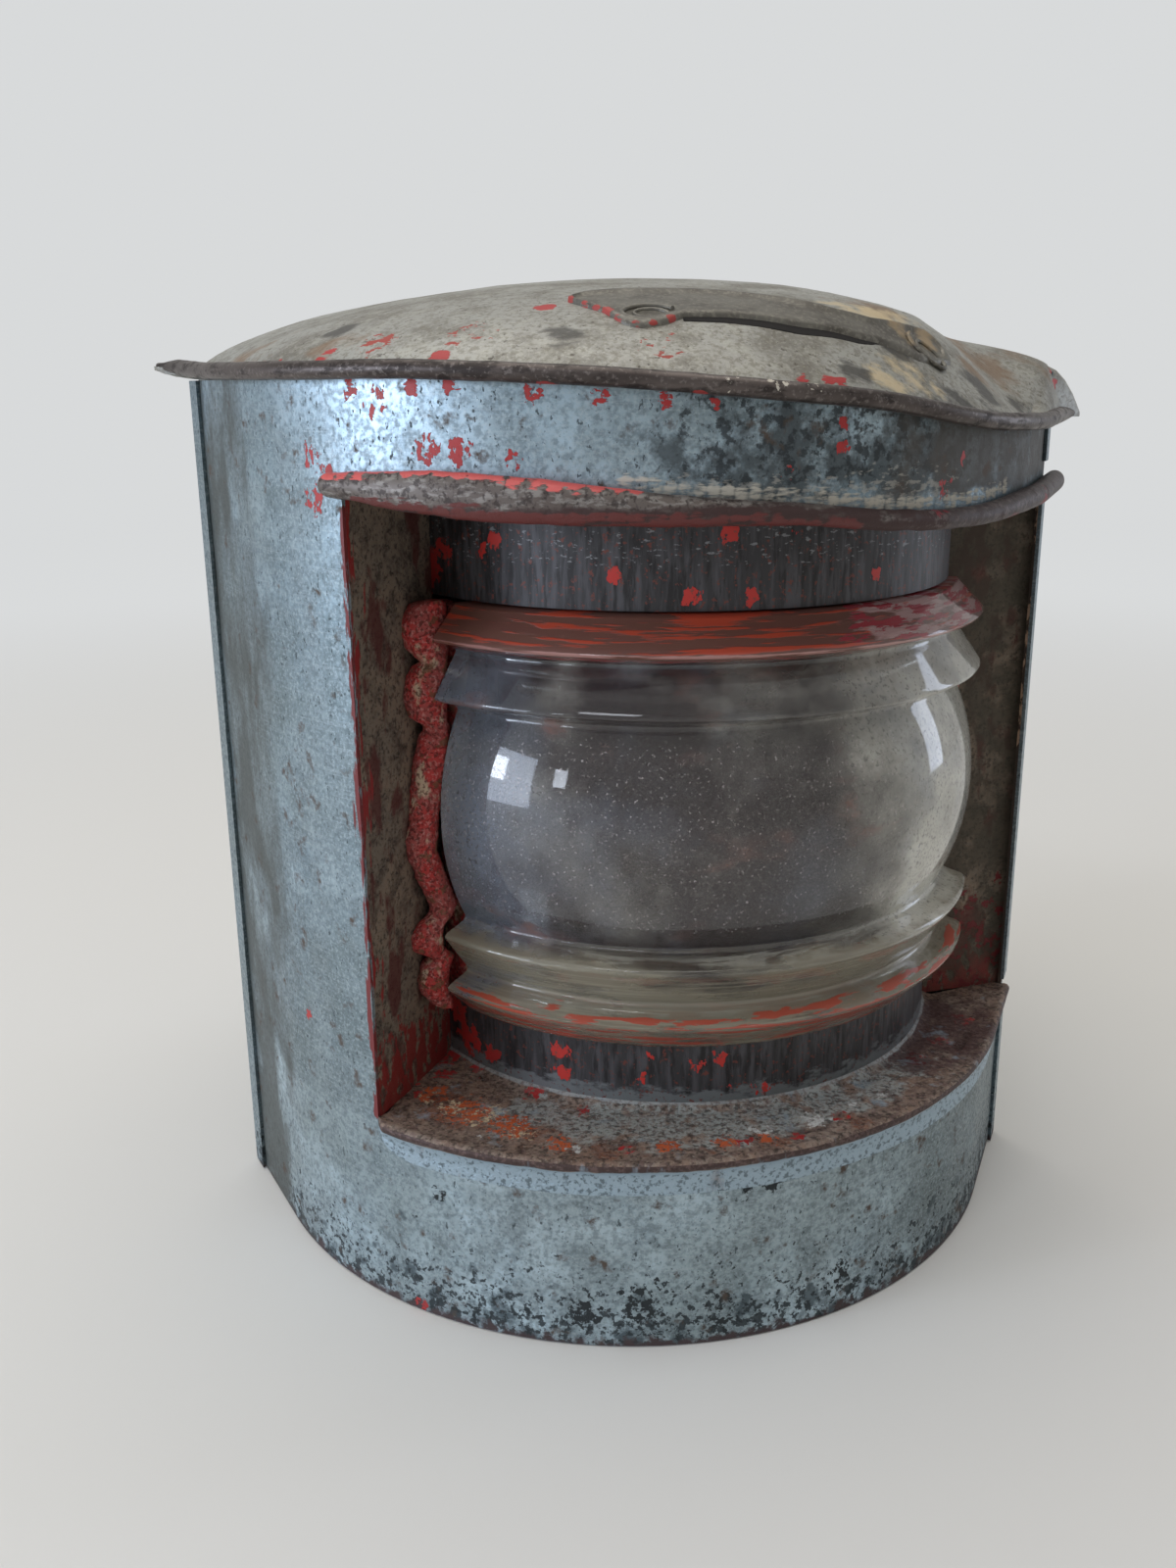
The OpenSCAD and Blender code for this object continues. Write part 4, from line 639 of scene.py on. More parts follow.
# %% Shelf
# The same sheet, lying flat, where water and oil stood. It gives the eye a patchwork: scale,
# grey zinc where it was rubbed, orange rust and cream lime at the left, spilled red paint, and
# a pale edge at the front. Crusts of rust are 0.3 mm grains, drawn 1.3 mm wide.
shelf_finish = finish("shelf_rust_and_scale", "#846C5D", 0.75, 0.12, [
    dict(size=14, cut=(0.4, 0.6), colour="#8F8379", amount=0.75),
    dict(size=4, cut=(0.46, 0.62), shift=3, colour="#3C2B24", amount=0.8, height=-0.06),
    dict(size=5, cut=(0.3, 0.42), shift=9, colour="#ACB4B2", rough=0.48, metal=0.45, amount=0.85,
         places=[(-30, -86, 52, 14), (-14, -92, 52, 16), (0, -95, 52, 16), (16, -96, 52, 16),
                 (32, -93, 52, 15), (46, -86, 52, 14), (60, -78, 52, 14), (70, -66, 52, 14)]),
    dict(size=3, stretch=(3, 3, 1), cut=(0.46, 0.54), shift=7, colour="#7A4A33", amount=0.8,
         places=[(-50, -82, 52, 22), (-30, -98, 52, 18), (-10, -104, 52, 14), (10, -105, 52, 14),
                 (30, -101, 52, 12), (48, -95, 52, 12)]),
    dict(size=0.9, cut=(0.5, 0.62), shift=11, colour="#9A8C7E", amount=0.55, height=0.05),
    dict(size=1.3, cut=(0.5, 0.6), shift=12, colour="#251B17", amount=0.75, height=-0.08),
    dict(size=1.5, cut=(0.46, 0.5), shift=13, colour="#C9B797", rough=0.9, height=0.14,
         places=[(-51, -81, 52, 8), (-44, -87, 52, 9), (-34, -95, 52, 8), (-57, -76, 52, 7),
                 (-40, -84, 52, 7)]),
    dict(size=1.3, cut=(0.44, 0.5), shift=15, colour="#B8562B", rough=0.8, height=0.1,
         places=[(-47, -84, 52, 13), (-36, -92, 52, 12), (-56, -74, 52, 10),
                 (-24, -101, 52, 8), (2, -104, 52, 7), (16, -103, 52, 7), (26, -102, 52, 6)]),
    dict(size=2.0, cut=(0.48, 0.5), shift=17, colour=RED, rough=0.5, height=0.12, places=[
        (-64, -66, 52, 10), (-53, -55, 53, 9), (-44, -62, 54, 8), (-54, -64, 52, 7),
        (-30, -76, 53, 7), (-17, -86, 53, 6), (74, -64, 52, 9), (84, -54, 52, 8),
        (94, -42, 52, 8), (88, -58, 52, 6), (47, -93, 52, 5), (21, -103, 52, 6),
        (-8, -105, 51, 6), (34, -101, 52, 5), (-60, -74, 52, 4)]),
    dict(size=6, cut=(0.3, 0.44), shift=19, colour="#42292A", rough=0.6, amount=0.85,
         places=[(86, -48, 52, 32), (74, -62, 52, 18)]),
    dict(size=1.3, stretch=(2, 2, 1), cut=(0.48, 0.52), shift=21, colour="#C4C6C4", rough=0.6,
         metal=0.2, height=0.06, places=[(40, -94, 52, 8), (50, -89, 52, 8), (26, -98, 52, 6),
                                         (60, -83, 52, 6), (-20, -104, 50, 6),
                                         (-44, -97, 49.5, 6)]),
    dict(size=6, stretch=(2, 2, 1), cut=(0.28, 0.4), shift=25, colour="#43322F", rough=0.55,
         metal=0.3, height=0.03, limits=[("Z", 52.0, 51.7), ("Z", 49.6, 50.4)]),
    dict(size=3, stretch=(3, 3, 1), cut=(0.3, 0.46), shift=33, colour="#A3A8A8", rough=0.5,
         metal=0.5, amount=0.85, limits=[("Z", 52.7, 53.2)]),
    dict(size=1.2, cut=(0.5, 0.6), shift=26, colour="#6F5A55", amount=0.6,
         limits=[("Z", 49.6, 50.4)]),
    dict(size=9, stretch=(1, 1, 3), cut=(0.2, 0.36), shift=27, colour="#A3B7C4", rough=0.42,
         metal=0.7, amount=0.95, limits=[("Z", 50.4, 49.2)]),
    dict(size=1.2, cut=(0.52, 0.6), shift=29, colour="#4A565B", amount=0.7,
         limits=[("Z", 50.0, 48.8)]),
])

# %% Hood
# Zinc-coated sheet rolled over a wire, with brushed red paint along its left half. Paint that
# is left shines, 0.4, and the bare part is grainy and grey-brown, so the roll reads as worn.
hood_finish = finish("hood_bead_red_over_zinc", "#6F6863", 0.5, 0.35, [
    dict(size=14, stretch=(2, 2, 1), cut=(0.4, 0.6), colour="#544843", amount=0.7),
    dict(size=1.2, stretch=(3, 3, 1), cut=(0.5, 0.6), shift=3, colour="#A29E99", amount=0.5,
         height=0.04),
    dict(size=1.4, cut=(0.5, 0.6), shift=5, colour="#2F2523", amount=0.8, height=-0.05),
    # Painted shade: darker below about 204 mm, on the underside of the roll, on most of the roll
    # where it is bent down on the right, and on the ceiling of the recess.
    dict(size=4, stretch=(3, 3, 1), cut=(0.3, 0.46), shift=7, colour="#3B2725", rough=0.65,
         metal=0.1, limits=[("Z", 206.6, 203.6)]),
    dict(size=2.6, stretch=(4, 4, 0.8), cut=(0.38, 0.42), shift=9, colour="#D65F5B", rough=0.4,
         metal=0.0, height=0.08, places=beside(range(-78, -4, 4), HOOD_TOP, 2.6, 4.6)),
    dict(size=2.2, stretch=(4, 4, 0.8), cut=(0.36, 0.44), shift=13, colour="#5E2522", rough=0.5,
         metal=0.0, height=0.08, places=beside(range(-66, 40, 4), [
             (-60, 204.2), (-38, 202.4), (-14, 201.6), (12, 201), (34, 199.6)], 4.6, 5.5)),
    dict(size=6, cut=(0.34, 0.48), shift=17, colour="#484041", rough=0.5, metal=0.3, amount=0.9,
         limits=[("X", 48, 66)]),
    dict(size=1.5, cut=(0.5, 0.6), shift=19, colour="#6D6260", amount=0.6,
         limits=[("X", 44, 60)]),
    dict(size=2.2, cut=(0.48, 0.51), shift=21, colour="#7E2630", rough=0.5, height=0.06,
         places=[(62, -96, 203, 6), (98, -58, 200, 8), (84, -76, 199, 6)]),
])

# %% Lid
# Zinc-coated sheet under an old olive-grey paint, rubbed by hands for years. At 0.46 and only
# 0.35 metal it has a soft uneven shine, cream and brown stains at the right, and red splashes.
# The 0.8 mm speckle and 1.5 mm pits stand for dirt that is finer.
lid_finish = finish("lid_olive_grey_with_flecks", "#999892", 0.46, 0.35, [
    dict(size=45, cut=(0.4, 0.6), colour="#A2A39E", amount=0.7, rough=0.42),
    dict(size=14, cut=(0.46, 0.62), shift=3, colour="#625D53", amount=0.7, rough=0.55),
    dict(size=5, cut=(0.5, 0.64), shift=7, colour="#A4A399", amount=0.5),
    dict(size=1.3, cut=(0.48, 0.6), shift=9, colour="#6B6659", amount=0.6, height=-0.02),
    dict(size=0.8, cut=(0.52, 0.64), shift=10, colour="#B2B1A8", amount=0.4, height=0.02),
    dict(size=1.5, cut=(0.62, 0.67), shift=11, colour="#4A423A", amount=0.7, height=-0.03,
         rough=0.7),
    dict(size=10, stretch=(2, 1, 1), cut=(0.4, 0.56), shift=17, colour="#80674F", amount=0.75,
         rough=0.6, places=[(-92, -48, 236, 22), (-70, -76, 236, 16), (52, -60, 245, 18),
                            (80, -30, 243, 26), (92, -40, 237, 24), (84, -60, 234, 16),
                            (104, -24, 234, 16)]),
    dict(size=5, stretch=(2, 1, 1), cut=(0.36, 0.52), shift=18, colour="#D2C09C", amount=0.8,
         places=[(44, -71, 246, 9), (53, -68, 244, 10), (62, -62, 243, 10), (70, -72, 237, 8),
                 (58, -86, 233, 12), (50, -93, 230, 10), (66, -82, 230, 8)]),
    dict(size=6, stretch=(2, 1, 1), cut=(0.34, 0.48), shift=19, colour="#3C3A37", amount=0.85,
         rough=0.5, places=[(42, -96, 231, 9), (56, -80, 236, 8), (72, -82, 225, 12),
                            (80, -68, 228, 14), (64, -90, 226, 8), (-20, -96, 238, 8),
                            (-70, -66, 242, 7), (96, -52, 226, 12)]),
    dict(size=2.6, stretch=(4, 4, 1), cut=(0.46, 0.49), shift=23, colour=RED, rough=0.5,
         metal=0.0, height=0.08, places=[
             *beside(range(-150, -88, 4), [(-150, 234.4), (-88, 233.4)], -1, 4.6),
             (-72, -78, 235, 6), (-46, -96, 235, 5), (30, -104, 231, 5), (35, -102, 230, 5),
             (39, -101, 229, 5), (112, -22, 229, 6), (98, -44, 228, 4), (102, -48, 224, 5),
             (118, -10, 224, 5), (-23, -80, 245, 5)]),
    dict(size=1.2, stretch=(3, 3, 1), cut=(0.54, 0.56), shift=29, colour="#9A3A30", rough=0.6,
         metal=0.0, places=[(-40, -90, 239, 14), (0, -102, 237, 12), (-60, -82, 238, 12)]),
])

# %% Ribbon and bead
# The ribbon is the same sheet, darker, because dirt stays in the hollow inside its border.
# Where hands reach it, it is pale and cream. Its grain is drawn 1 mm wide.
ribbon_finish = finish("ribbon_dark_and_rubbed", "#6B6860", 0.45, 0.35, [
    dict(size=9, cut=(0.42, 0.6), colour="#4A453E", amount=0.8),
    dict(size=1.0, cut=(0.5, 0.62), shift=3, colour="#8A867B", amount=0.55, height=0.02),
    dict(size=9, cut=(0.36, 0.5), shift=5, colour="#A08C6E", amount=0.85, rough=0.6,
         places=[(66, -66, 240, 9), (58, -70, 242, 8)]),
    dict(size=1.6, stretch=(3, 3, 1), cut=(0.42, 0.46), shift=7, colour="#9E3A34", rough=0.55,
         metal=0.0, height=0.05, places=[(-17.5, -78, 247, 3.6), (-15, -83, 245.5, 3.2),
                                         (-13, -86, 245, 3), (-11, -88.5, 244, 3),
                                         (-8.5, -92, 242.6, 3), (-5, -95.2, 241.3, 3),
                                         (-1, -94.6, 241.6, 2.6), (3, -92, 242.6, 2.4)]),
])

# The lid's rolled edge has lost its paint to handling. It is the smoothest sheet, 0.38, and
# dark brown, so it draws one thin bright line round the lid.
bead_finish = finish("lid_bead_dark_brown", "#453D3A", 0.38, 0.55, [
    dict(size=8, stretch=(4, 4, 1), cut=(0.42, 0.6), colour="#675E5A", amount=0.6),
    dict(size=2, stretch=(3, 3, 1), cut=(0.5, 0.62), shift=5, colour="#241D1B", amount=0.75,
         rough=0.6, height=-0.03),
    dict(size=1.0, cut=(0.54, 0.64), shift=7, colour="#8C8480", amount=0.4),
    dict(size=2.0, stretch=(3, 3, 1), cut=(0.48, 0.5), shift=9, colour="#8E2E2A", rough=0.5,
         metal=0.0, places=[(-60, -96, 231, 5), (-24, -111, 229, 5), (6, -114, 227, 4)]),
    dict(size=1.4, cut=(0.5, 0.54), shift=13, colour="#C6BFB2", rough=0.8, metal=0.0,
         places=[(12, -113, 229, 5), (22, -112, 229, 5), (30, -110, 228, 4)]),
])

# %% [markdown]
# ## Collars, putty and inner fittings
#
# The bands above and below the glass are nearly black, with upright streaks, pale specks and a
# few flakes of bright red. The glass is bedded in putty that was painted over and has
# crumbled. Inside are tinplate, polished tin, brass, cork and cotton, which show through the
# glass and when the lid is open. They are made in the same way, with fewer layers, because
# they are seen small or in the dark.

# %% Collars
# Steel bands with black stoving paint, satin, 0.48, and hardly a metal. Rain has drawn upright
# streaks in it, of 0.5 mm and up, drawn 1.6 to 2 mm wide. Flakes of red make it look darker.
collar_finish = finish("collar_black_paint_streaked", "#363537", 0.48, 0.3, [
    dict(size=2.0, stretch=(1, 1, 9), cut=(0.46, 0.62), colour="#555458", amount=0.7),
    dict(size=1.6, stretch=(1, 1, 6), cut=(0.5, 0.62), shift=3, colour="#1C1A1B", amount=0.8),
    dict(size=1.1, stretch=(2, 2, 0.8), cut=(0.6, 0.64), shift=4, colour="#8E9093", amount=0.7,
         limits=[("Z", 176, 190)]),
    dict(size=3, stretch=(2, 2, 1), cut=(0.34, 0.46), shift=5, colour="#7D8284", amount=0.85,
         limits=[("Z", 61, 55)], rough=0.45, metal=0.6),
    dict(size=2.2, stretch=(1, 1, 1.5), cut=(0.46, 0.48), shift=9, colour="#B92C25", rough=0.45,
         metal=0.0, height=0.1, places=[
             (-23, -78, 65, 5.5), (-22.5, -78, 59, 5.0), (-1, -86, 66, 4.2), (-2, -85, 60, 4.6),
             (11, -86, 64, 4.6), (17, -86, 66, 4.6), (28, -84, 56, 4.6), (19, -86, 57, 4.0),
             (-9, -83, 187, 4.2), (9, -86, 182, 4.8), (22, -85, 182, 4.6), (55, -73, 185, 4.6),
             (-40, -66, 192, 4.6), (-36, -69, 194, 4.4), (17, -86, 197, 5), (32, -83, 198, 4.6)]),
    dict(size=3, cut=(0.4, 0.43), shift=13, colour="#A12A28", rough=0.5, metal=0.0, height=0.1,
         places=[(-52, -50, 186, 10), (-48, -55, 190, 7), (-47, -58, 60, 9), (-40, -64, 58, 6),
                 (-50, -54, 66, 8)]),
    dict(size=1.3, cut=(0.6, 0.63), shift=17, colour="#6F3A31", amount=0.8),
])

# %% Putty
# Chalk and linseed oil, dried out and painted over: quite matt, 0.8, brick red with cream where
# the paint is off. Crumbs and cracks of about 0.3 mm are drawn 1 mm wide.
putty_finish = finish("crumbling_putty_red_and_cream", "#9C4642", 0.8, 0.0, [
    dict(size=7, cut=(0.44, 0.54), colour="#B3312F", amount=0.85),
    dict(size=6, stretch=(1, 1, 1.6), cut=(0.57, 0.64), shift=2, colour="#BFAE93", amount=0.9,
         rough=0.9),
    dict(size=1.0, cut=(0.52, 0.62), shift=3, colour="#D09A93", amount=0.45, height=0.1),
    dict(size=0.9, cut=(0.52, 0.62), shift=5, colour="#5B2621", amount=0.8, height=-0.25),
    dict(size=4, cut=(0.58, 0.62), shift=9, colour="#6B4A33", amount=0.8),
])

# %% Fittings inside and behind
# Tinplate, tarnished: a soft grey metal with brown specks. Its polishing lines are 0.1 mm
# apart and are drawn 1 mm apart, or they would only look like more roughness.
tin_finish = finish("tarnished_tinplate", "#8D8B84", 0.42, 0.85, [
    dict(size=22, cut=(0.4, 0.62), colour="#6C6861", amount=0.7, rough=0.55),
    dict(size=3, cut=(0.58, 0.66), shift=4, colour="#5A4032", amount=0.8, rough=0.8, metal=0.1),
    dict(size=1.0, stretch=(14, 14, 1), cut=(0.5, 0.66), shift=8, colour="#B2B0A8", amount=0.4),
])
# Tinplate polished to a mirror, 0.2, and clouded by lamp smoke: bright, with soft brown clouds.
mirror_finish = finish("polished_tin_mirror", "#B9B8B0", 0.2, 1.0, [
    dict(size=16, cut=(0.45, 0.65), colour="#8E8A7E", amount=0.6, rough=0.38),
    dict(size=2.5, cut=(0.62, 0.68), shift=4, colour="#57503F", amount=0.7, rough=0.7),
])
# Turned and pressed brass that nobody polished: a dull golden metal, brown in clouds, with
# green specks of verdigris. Between the clouds it still shines, 0.36.
brass_finish = finish("tarnished_brass", "#9A7D3E", 0.36, 1.0, [
    dict(size=10, cut=(0.42, 0.62), colour="#5F4C2A", amount=0.75, rough=0.55),
    dict(size=2.5, cut=(0.6, 0.66), shift=4, colour="#4B6655", amount=0.6, rough=0.8, metal=0.2),
])
# Cork pressed from crumbs of about 1 mm: matt and brown, with dark sunken joints.
cork_finish = finish("pressed_cork", "#94714A", 0.85, 0.0, [
    dict(size=1.4, cut=(0.45, 0.6), colour="#6B4C2E", height=-0.08),
])
# Flat woven cotton: matt and off-white, charred at its top. A thread is 0.4 mm wide, drawn 0.8.
wick_finish = finish("woven_cotton_wick", "#CFC7B2", 0.95, 0.0, [
    dict(size=0.8, stretch=(1, 1, 2.5), cut=(0.42, 0.6), colour="#A79C83", height=-0.1),
    dict(size=8, cut=(0.3, 0.5), shift=3, colour="#2A2420", limits=[("Z", 103, 106)]),
])
# Iron strap dipped in black paint: satin and nearly black, brown where rust lifts the paint.
iron_finish = finish("dark_painted_iron", "#3E3B39", 0.5, 0.4, [
    dict(size=9, cut=(0.45, 0.6), colour="#5C4A40", amount=0.7, rough=0.7),
    dict(size=2.4, cut=(0.58, 0.64), shift=4, colour="#7A4630", amount=0.7, rough=0.85),
])
# Soft rivets with a thin coat of zinc: plain grey metal, darker where the hammer marked them.
rivet_finish = finish("zinc_coated_rivets", "#80898C", 0.42, 0.8, [
    dict(size=2.5, cut=(0.48, 0.6), colour="#4E5557", amount=0.7, rough=0.65),
])
print("materials so far, with the model's own:", len(bpy.data.materials))

# %% [markdown]
# ## Glass
#
# The lens is thick pressed glass, index about 1.5, and the filter behind it is ruby glass. An
# old lens is never clean: a brown film of dust lies on it, with specks and smears, lime in the
# lower rings, and old paint that has run over the top ring. The film is also paler towards the
# right and blue-grey towards the left, which is painted reflection, and pale pink along the
# crest of the top ring, which is painted highlight.
#
# Dirt could be a second thin piece over the glass, but two skins so close together flicker. So
# the film is a second shader, mixed with the glass by the masks of its layers. A matt film
# would put out the reflections of the windows, so it has a clear, sharp gloss over it.

# %% Glass under dirt
def glass_under_dirt_and_painted_light(name, tint, rough, layers, film):
    """Clear glass with layers of dirt, and of painted light and shade, that hide it where they lie.
    """
    material, tree = new_material(name)
    where = add(tree, "TexCoord").outputs["Object"]
    # The film's ground is dark mauve: partly dust and partly painted shade of what lies behind.
    dirt_and_light, cover, high = hex_colour("#554A4A"), film, 0.0
    for layer in layers:
        mask = spread(tree, where, layer)
        dirt_and_light = add(tree, "Mix", {0: mask, 6: dirt_and_light, 7: hex_colour(layer["colour"])},
                   data_type="RGBA").outputs[2]
        cover = add(tree, "Mix", {0: mask, 2: cover, 3: layer["cover"]}).outputs[0]
        if "height" in layer:
            high = add(tree, "Math", {0: mask, 1: layer["height"] * MM, 2: high},
                       operation="MULTIPLY_ADD").outputs[0]
    glass = add(tree, "BsdfPrincipled", {"Base Color": hex_colour(tint), "Roughness": rough,
                                         "IOR": 1.5, "Transmission Weight": 1.0})
    film_coat = add(tree, "BsdfPrincipled", {"Base Color": dirt_and_light, "Roughness": 0.5, "IOR": 1.5,
                                             "Coat Weight": 0.9, "Coat Roughness": 0.05})
    if not isinstance(high, float):
        bump = add(tree, "Bump", {"Height": high, "Strength": 1.0, "Distance": 1.0})
        for shader in (glass, film_coat):
            tree.links.new(bump.outputs[0], shader.inputs["Normal"])
    mixed = add(tree, "MixShader", {0: cover, 1: glass.outputs[0], 2: film_coat.outputs[0]})
    add(tree, "OutputMaterial", {"Surface": mixed.outputs[0]})
    print(name, len(layers), "layers of dirt")
    return material


# %% Lens and filter
# Pressed soda-lime glass, clear with a green-grey tint, smooth, 0.05, index 1.5. To the eye it
# is dark, because the case behind it is, with bright shapes of the windows on every ring. The
# film's dark mauve ground and clouds are partly dust and partly painted shade of that case.
# Specks of dust are 0.1 to 0.5 mm wide and are drawn 0.8 to 1.1 mm wide.
lens_glass = glass_under_dirt_and_painted_light("pressed_clear_glass_dust_and_painted_light", "#E4E6E0", 0.05, [
    # Partly dust and partly painted shade: dark mauve clouds for the dark case behind the glass.
    dict(size=40, cut=(0.35, 0.6), colour="#3A3032", cover=0.4),
    # Painted reflection: the film is paler towards the right and blue-grey towards the left.
    dict(size=30, cut=(0.1, 0.5), shift=2, colour="#D6D4C8", cover=0.75,
         limits=[("X", 38, 70)]),
    dict(size=25, cut=(0.1, 0.5), shift=4, colour="#8891A0", cover=0.5,
         limits=[("X", -18, -46)]),
    dict(size=0.9, cut=(0.52, 0.64), shift=3, colour="#8E8583", cover=0.6, amount=0.5,
         limits=[("Z", 96, 104), ("Z", 154, 146)]),
    dict(size=0.8, cut=(0.62, 0.66), shift=6, colour="#C4BCBA", cover=0.8, amount=0.7,
         limits=[("Z", 94, 102), ("Z", 156, 148)]),
    dict(size=1.1, cut=(0.56, 0.64), shift=8, colour="#231C1D", cover=0.6, amount=0.5),
    dict(size=8, stretch=(3, 3, 1), cut=(0.3, 0.5), shift=19, colour="#A39C88", cover=0.5,
         limits=[("Z", 97, 94)]),
    dict(size=1.2, stretch=(30, 30, 0.5), cut=(0.5, 0.64), shift=7, colour="#B8B19C", cover=0.6,
         amount=0.6, limits=[("Z", 99, 92)]),
    dict(size=14, stretch=(2, 2, 1), cut=(0.2, 0.34), shift=9, colour="#70493D", cover=0.95,
         limits=[("Z", 167.5, 169.5)]),
    dict(size=3, stretch=(9, 9, 0.5), cut=(0.46, 0.56), shift=10, colour="#6E453B", cover=1.0,
         limits=[("Z", 168, 170)]),
    dict(size=2.6, stretch=(9, 9, 0.45), cut=(0.52, 0.56), shift=11, colour="#B8472F", cover=1.0,
         height=0.1, limits=[("Z", 169, 171)]),
    dict(size=2.2, stretch=(8, 8, 0.5), cut=(0.46, 0.5), shift=12, colour="#A0302C", cover=1.0,
         height=0.1, limits=[("Z", 169.6, 168.8), ("Z", 167.0, 167.8)]),
    # Painted highlight: pale pink along the crest of the top ring, and over its right part.
    dict(size=4, stretch=(4, 4, 0.4), cut=(0.42, 0.52), shift=15, colour="#C08E88", cover=0.9,
         amount=0.8, limits=[("Z", 171.2, 170.4), ("Z", 169.2, 169.8)]),
    dict(size=5, stretch=(3, 3, 0.5), cut=(0.42, 0.5), shift=13, colour="#C29B98", cover=0.85,
         limits=[("Z", 170, 171.5), ("X", 36, 52)]),
    dict(size=2.4, stretch=(4, 4, 0.6), cut=(0.52, 0.54), shift=14, colour="#A1303A", cover=1.0,
         height=0.1, limits=[("Z", 169, 171), ("X", 30, 46)]),
    dict(size=2.0, stretch=(7, 7, 0.5), cut=(0.5, 0.53), shift=17, colour="#A84834", cover=1.0,
         height=0.08, limits=[("Z", 82.5, 80)]),
], film=0.22)
# Soda-lime glass coloured through, with a little smoke on it: deep red, almost black in shade.
ruby_glass = glass_under_dirt_and_painted_light("ruby_glass", "#8E1420", 0.08, [
    dict(size=20, cut=(0.4, 0.65), colour="#4B2A28", cover=0.35),
], film=0.12)

# %% [markdown]
# ## The front sheet
#
# One sheet wraps the round front and both flanks, with a window cut out for the recess. A
# Boolean cut would open the window too, but it leaves long thin faces beside it. Here a net of
# points follows the plan, and the cells inside the window are left out.
#
# The upper edge of the window runs behind the hood's bead, which isn't level, because a knock
# has bent the hood down on the right. Tables of measured heights give such hand-made lines,
# and a blur takes the corners out of them.

# %% Lines that aren't level
GRID_STEP, BLUR_STEPS = 0.5, 30    # mm between points of a line, and how many the blur reaches
GRID = np.linspace(-170, 170, 681)


def blurred(values, step, soft, reach_steps):
    """Values at even steps, blurred by soft, which is in the same unit as step."""
    bell = np.exp(-0.5 * (np.arange(-reach_steps, reach_steps + 1) * step / soft) ** 2)
    return np.convolve(np.pad(values, reach_steps, mode="edge"), bell / bell.sum(), "valid")


def run(*pairs, soft):
    """A smooth line through pairs of (length along the front, height)."""
    xs, ys = zip(*pairs)
    eased = blurred(np.interp(GRID, xs, ys), GRID_STEP, soft, BLUR_STEPS)
    return lambda u: float(np.interp(u, GRID, eased))


# The middle of the hood's bead, and the middle of the lid's bead, which sags on the right.
hood_mid = run((-80, 208.6), (-70, 208.6), (-57, 207.9), (-48, 207.4), (-41, 206.9), (-23, 206.1),
               (-9, 204.9), (7, 203.9), (24, 203.0), (36, 201.9), (52, 200.3), (70, 199.6),
               (85, 200.1), (110, 201.7), (160, 202.2), soft=4)
bead_mid = run((-170, 235.0), (-147, 233.8), (-120, 233.0), (-85, 232.7), (-51, 232.6),
               (-23, 231.4), (-2, 229.9), (14, 228.4), (37, 226.2), (51, 224.7), (64, 222.5),
               (75, 220.9), (84, 220.1), (112, 219.5), (150, 220.0), (170, 220.3), soft=5)
RIM_Z = 232.4    # where the dome of the lid begins, if nothing is bent


def dip(u):
    """How far the rim of the case and the edge of the dome are bent down."""
    return max(0.0, RIM_Z - bead_mid(u)) * float(1 - ease(u, 118, 150))


# The window goes from 39 degrees left of straight ahead to just before the right corner.
WINDOW_A = math.radians(39)
WINDOW = (-FRONT_R * WINDOW_A, FRONT_L - 4)
print("hood bead from", round(hood_mid(-70), 1), "down to", round(hood_mid(70), 1), "mm")

# %% Front sheet of the case
# Rows of points: 10 below the window, 25 beside it and 6 above it.
BELOW, BESIDE, ABOVE = 10, 25, 6
BUCKLED = 0.22                     # mm, how uneven the sheet is away from its edges
along_front = np.unique(np.concatenate([np.linspace(-FRONT_L, FRONT_L, 190), WINDOW]))


def front_net(d):
    rows = []
    for part, count in enumerate((BELOW, BESIDE + 1, ABOVE + 1)):
        for t in np.linspace(0, 1, count)[min(part, 1):]:
            row = []
            for u in along_front:
                levels = (0, 51, hood_mid(u) + 0.4, CASE_H - dip(u))
                z = levels[part] + t * (levels[part + 1] - levels[part])
                quiet = ease(z, 0, 12) * (1 - ease(z, 212, 226)) * ease(FRONT_L - abs(u), 1, 14)
                x, y = on_front(u, d + BUCKLED * quiet * wobble(u, z, 34))
                row.append((x, y, z))
            rows.append(row)
    return rows


middle = (along_front[:-1] + along_front[1:]) / 2
kept = np.ones((BELOW + BESIDE + ABOVE - 1, len(middle)), bool)
kept[BELOW - 1:BELOW - 1 + BESIDE] = (middle < WINDOW[0]) | (middle > WINDOW[1])
case_front = plate("case_front", front_net(0.0), front_net(-SHEET), zinc_front, keep=kept)
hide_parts("front_sheet")

# %% [markdown]
# ## Hood, shelf and screens
#
# The recess has a ceiling whose edge is rolled over a wire, a floor whose edge is rolled and
# lapped over the base, and a flat wall at each side. The roll of the hood is a swept section
# with a flat back. A curve with a round bevel would be simpler, but the roll is flattened where
# it was knocked, so its section has to change along the way. The shelf is a net that follows
# the roll's profile row by row, so that its lip, lap and the fillet of solder round the collar
# are one surface.

# %% Bead of the hood
ROLL_OUT, ROLL_HALF = 2.85, 2.75    # mm, how far out the roll's middle is, and half its depth
OPEN_BACK = 2.85                    # radians from the front to either edge of its flat back
ROUNDED = 3.0                       # mm over which its left end is rounded off
lip_path = np.arange(WINDOW[0] - 3.2, FRONT_L + 1.01, 1.0)
half_height = run((-80, 2.6), (-70, 2.9), (-57, 4.2), (-48, 4.7), (-41, 5.0), (-23, 4.6), (-9, 3.8),
                  (7, 3.0), (24, 2.4), (34, 2.3), (70, 2.2), (85, 2.4), (110, 2.7), (160, 2.9),
                  soft=4)
from_end = 1 - np.clip((lip_path - lip_path[0]) / ROUNDED, 0, 1)
round_end = np.sqrt(np.clip(1 - from_end ** 2, 0.04, 1))
section = [(math.cos(t), math.sin(t)) for t in np.linspace(-OPEN_BACK, OPEN_BACK, 22)]
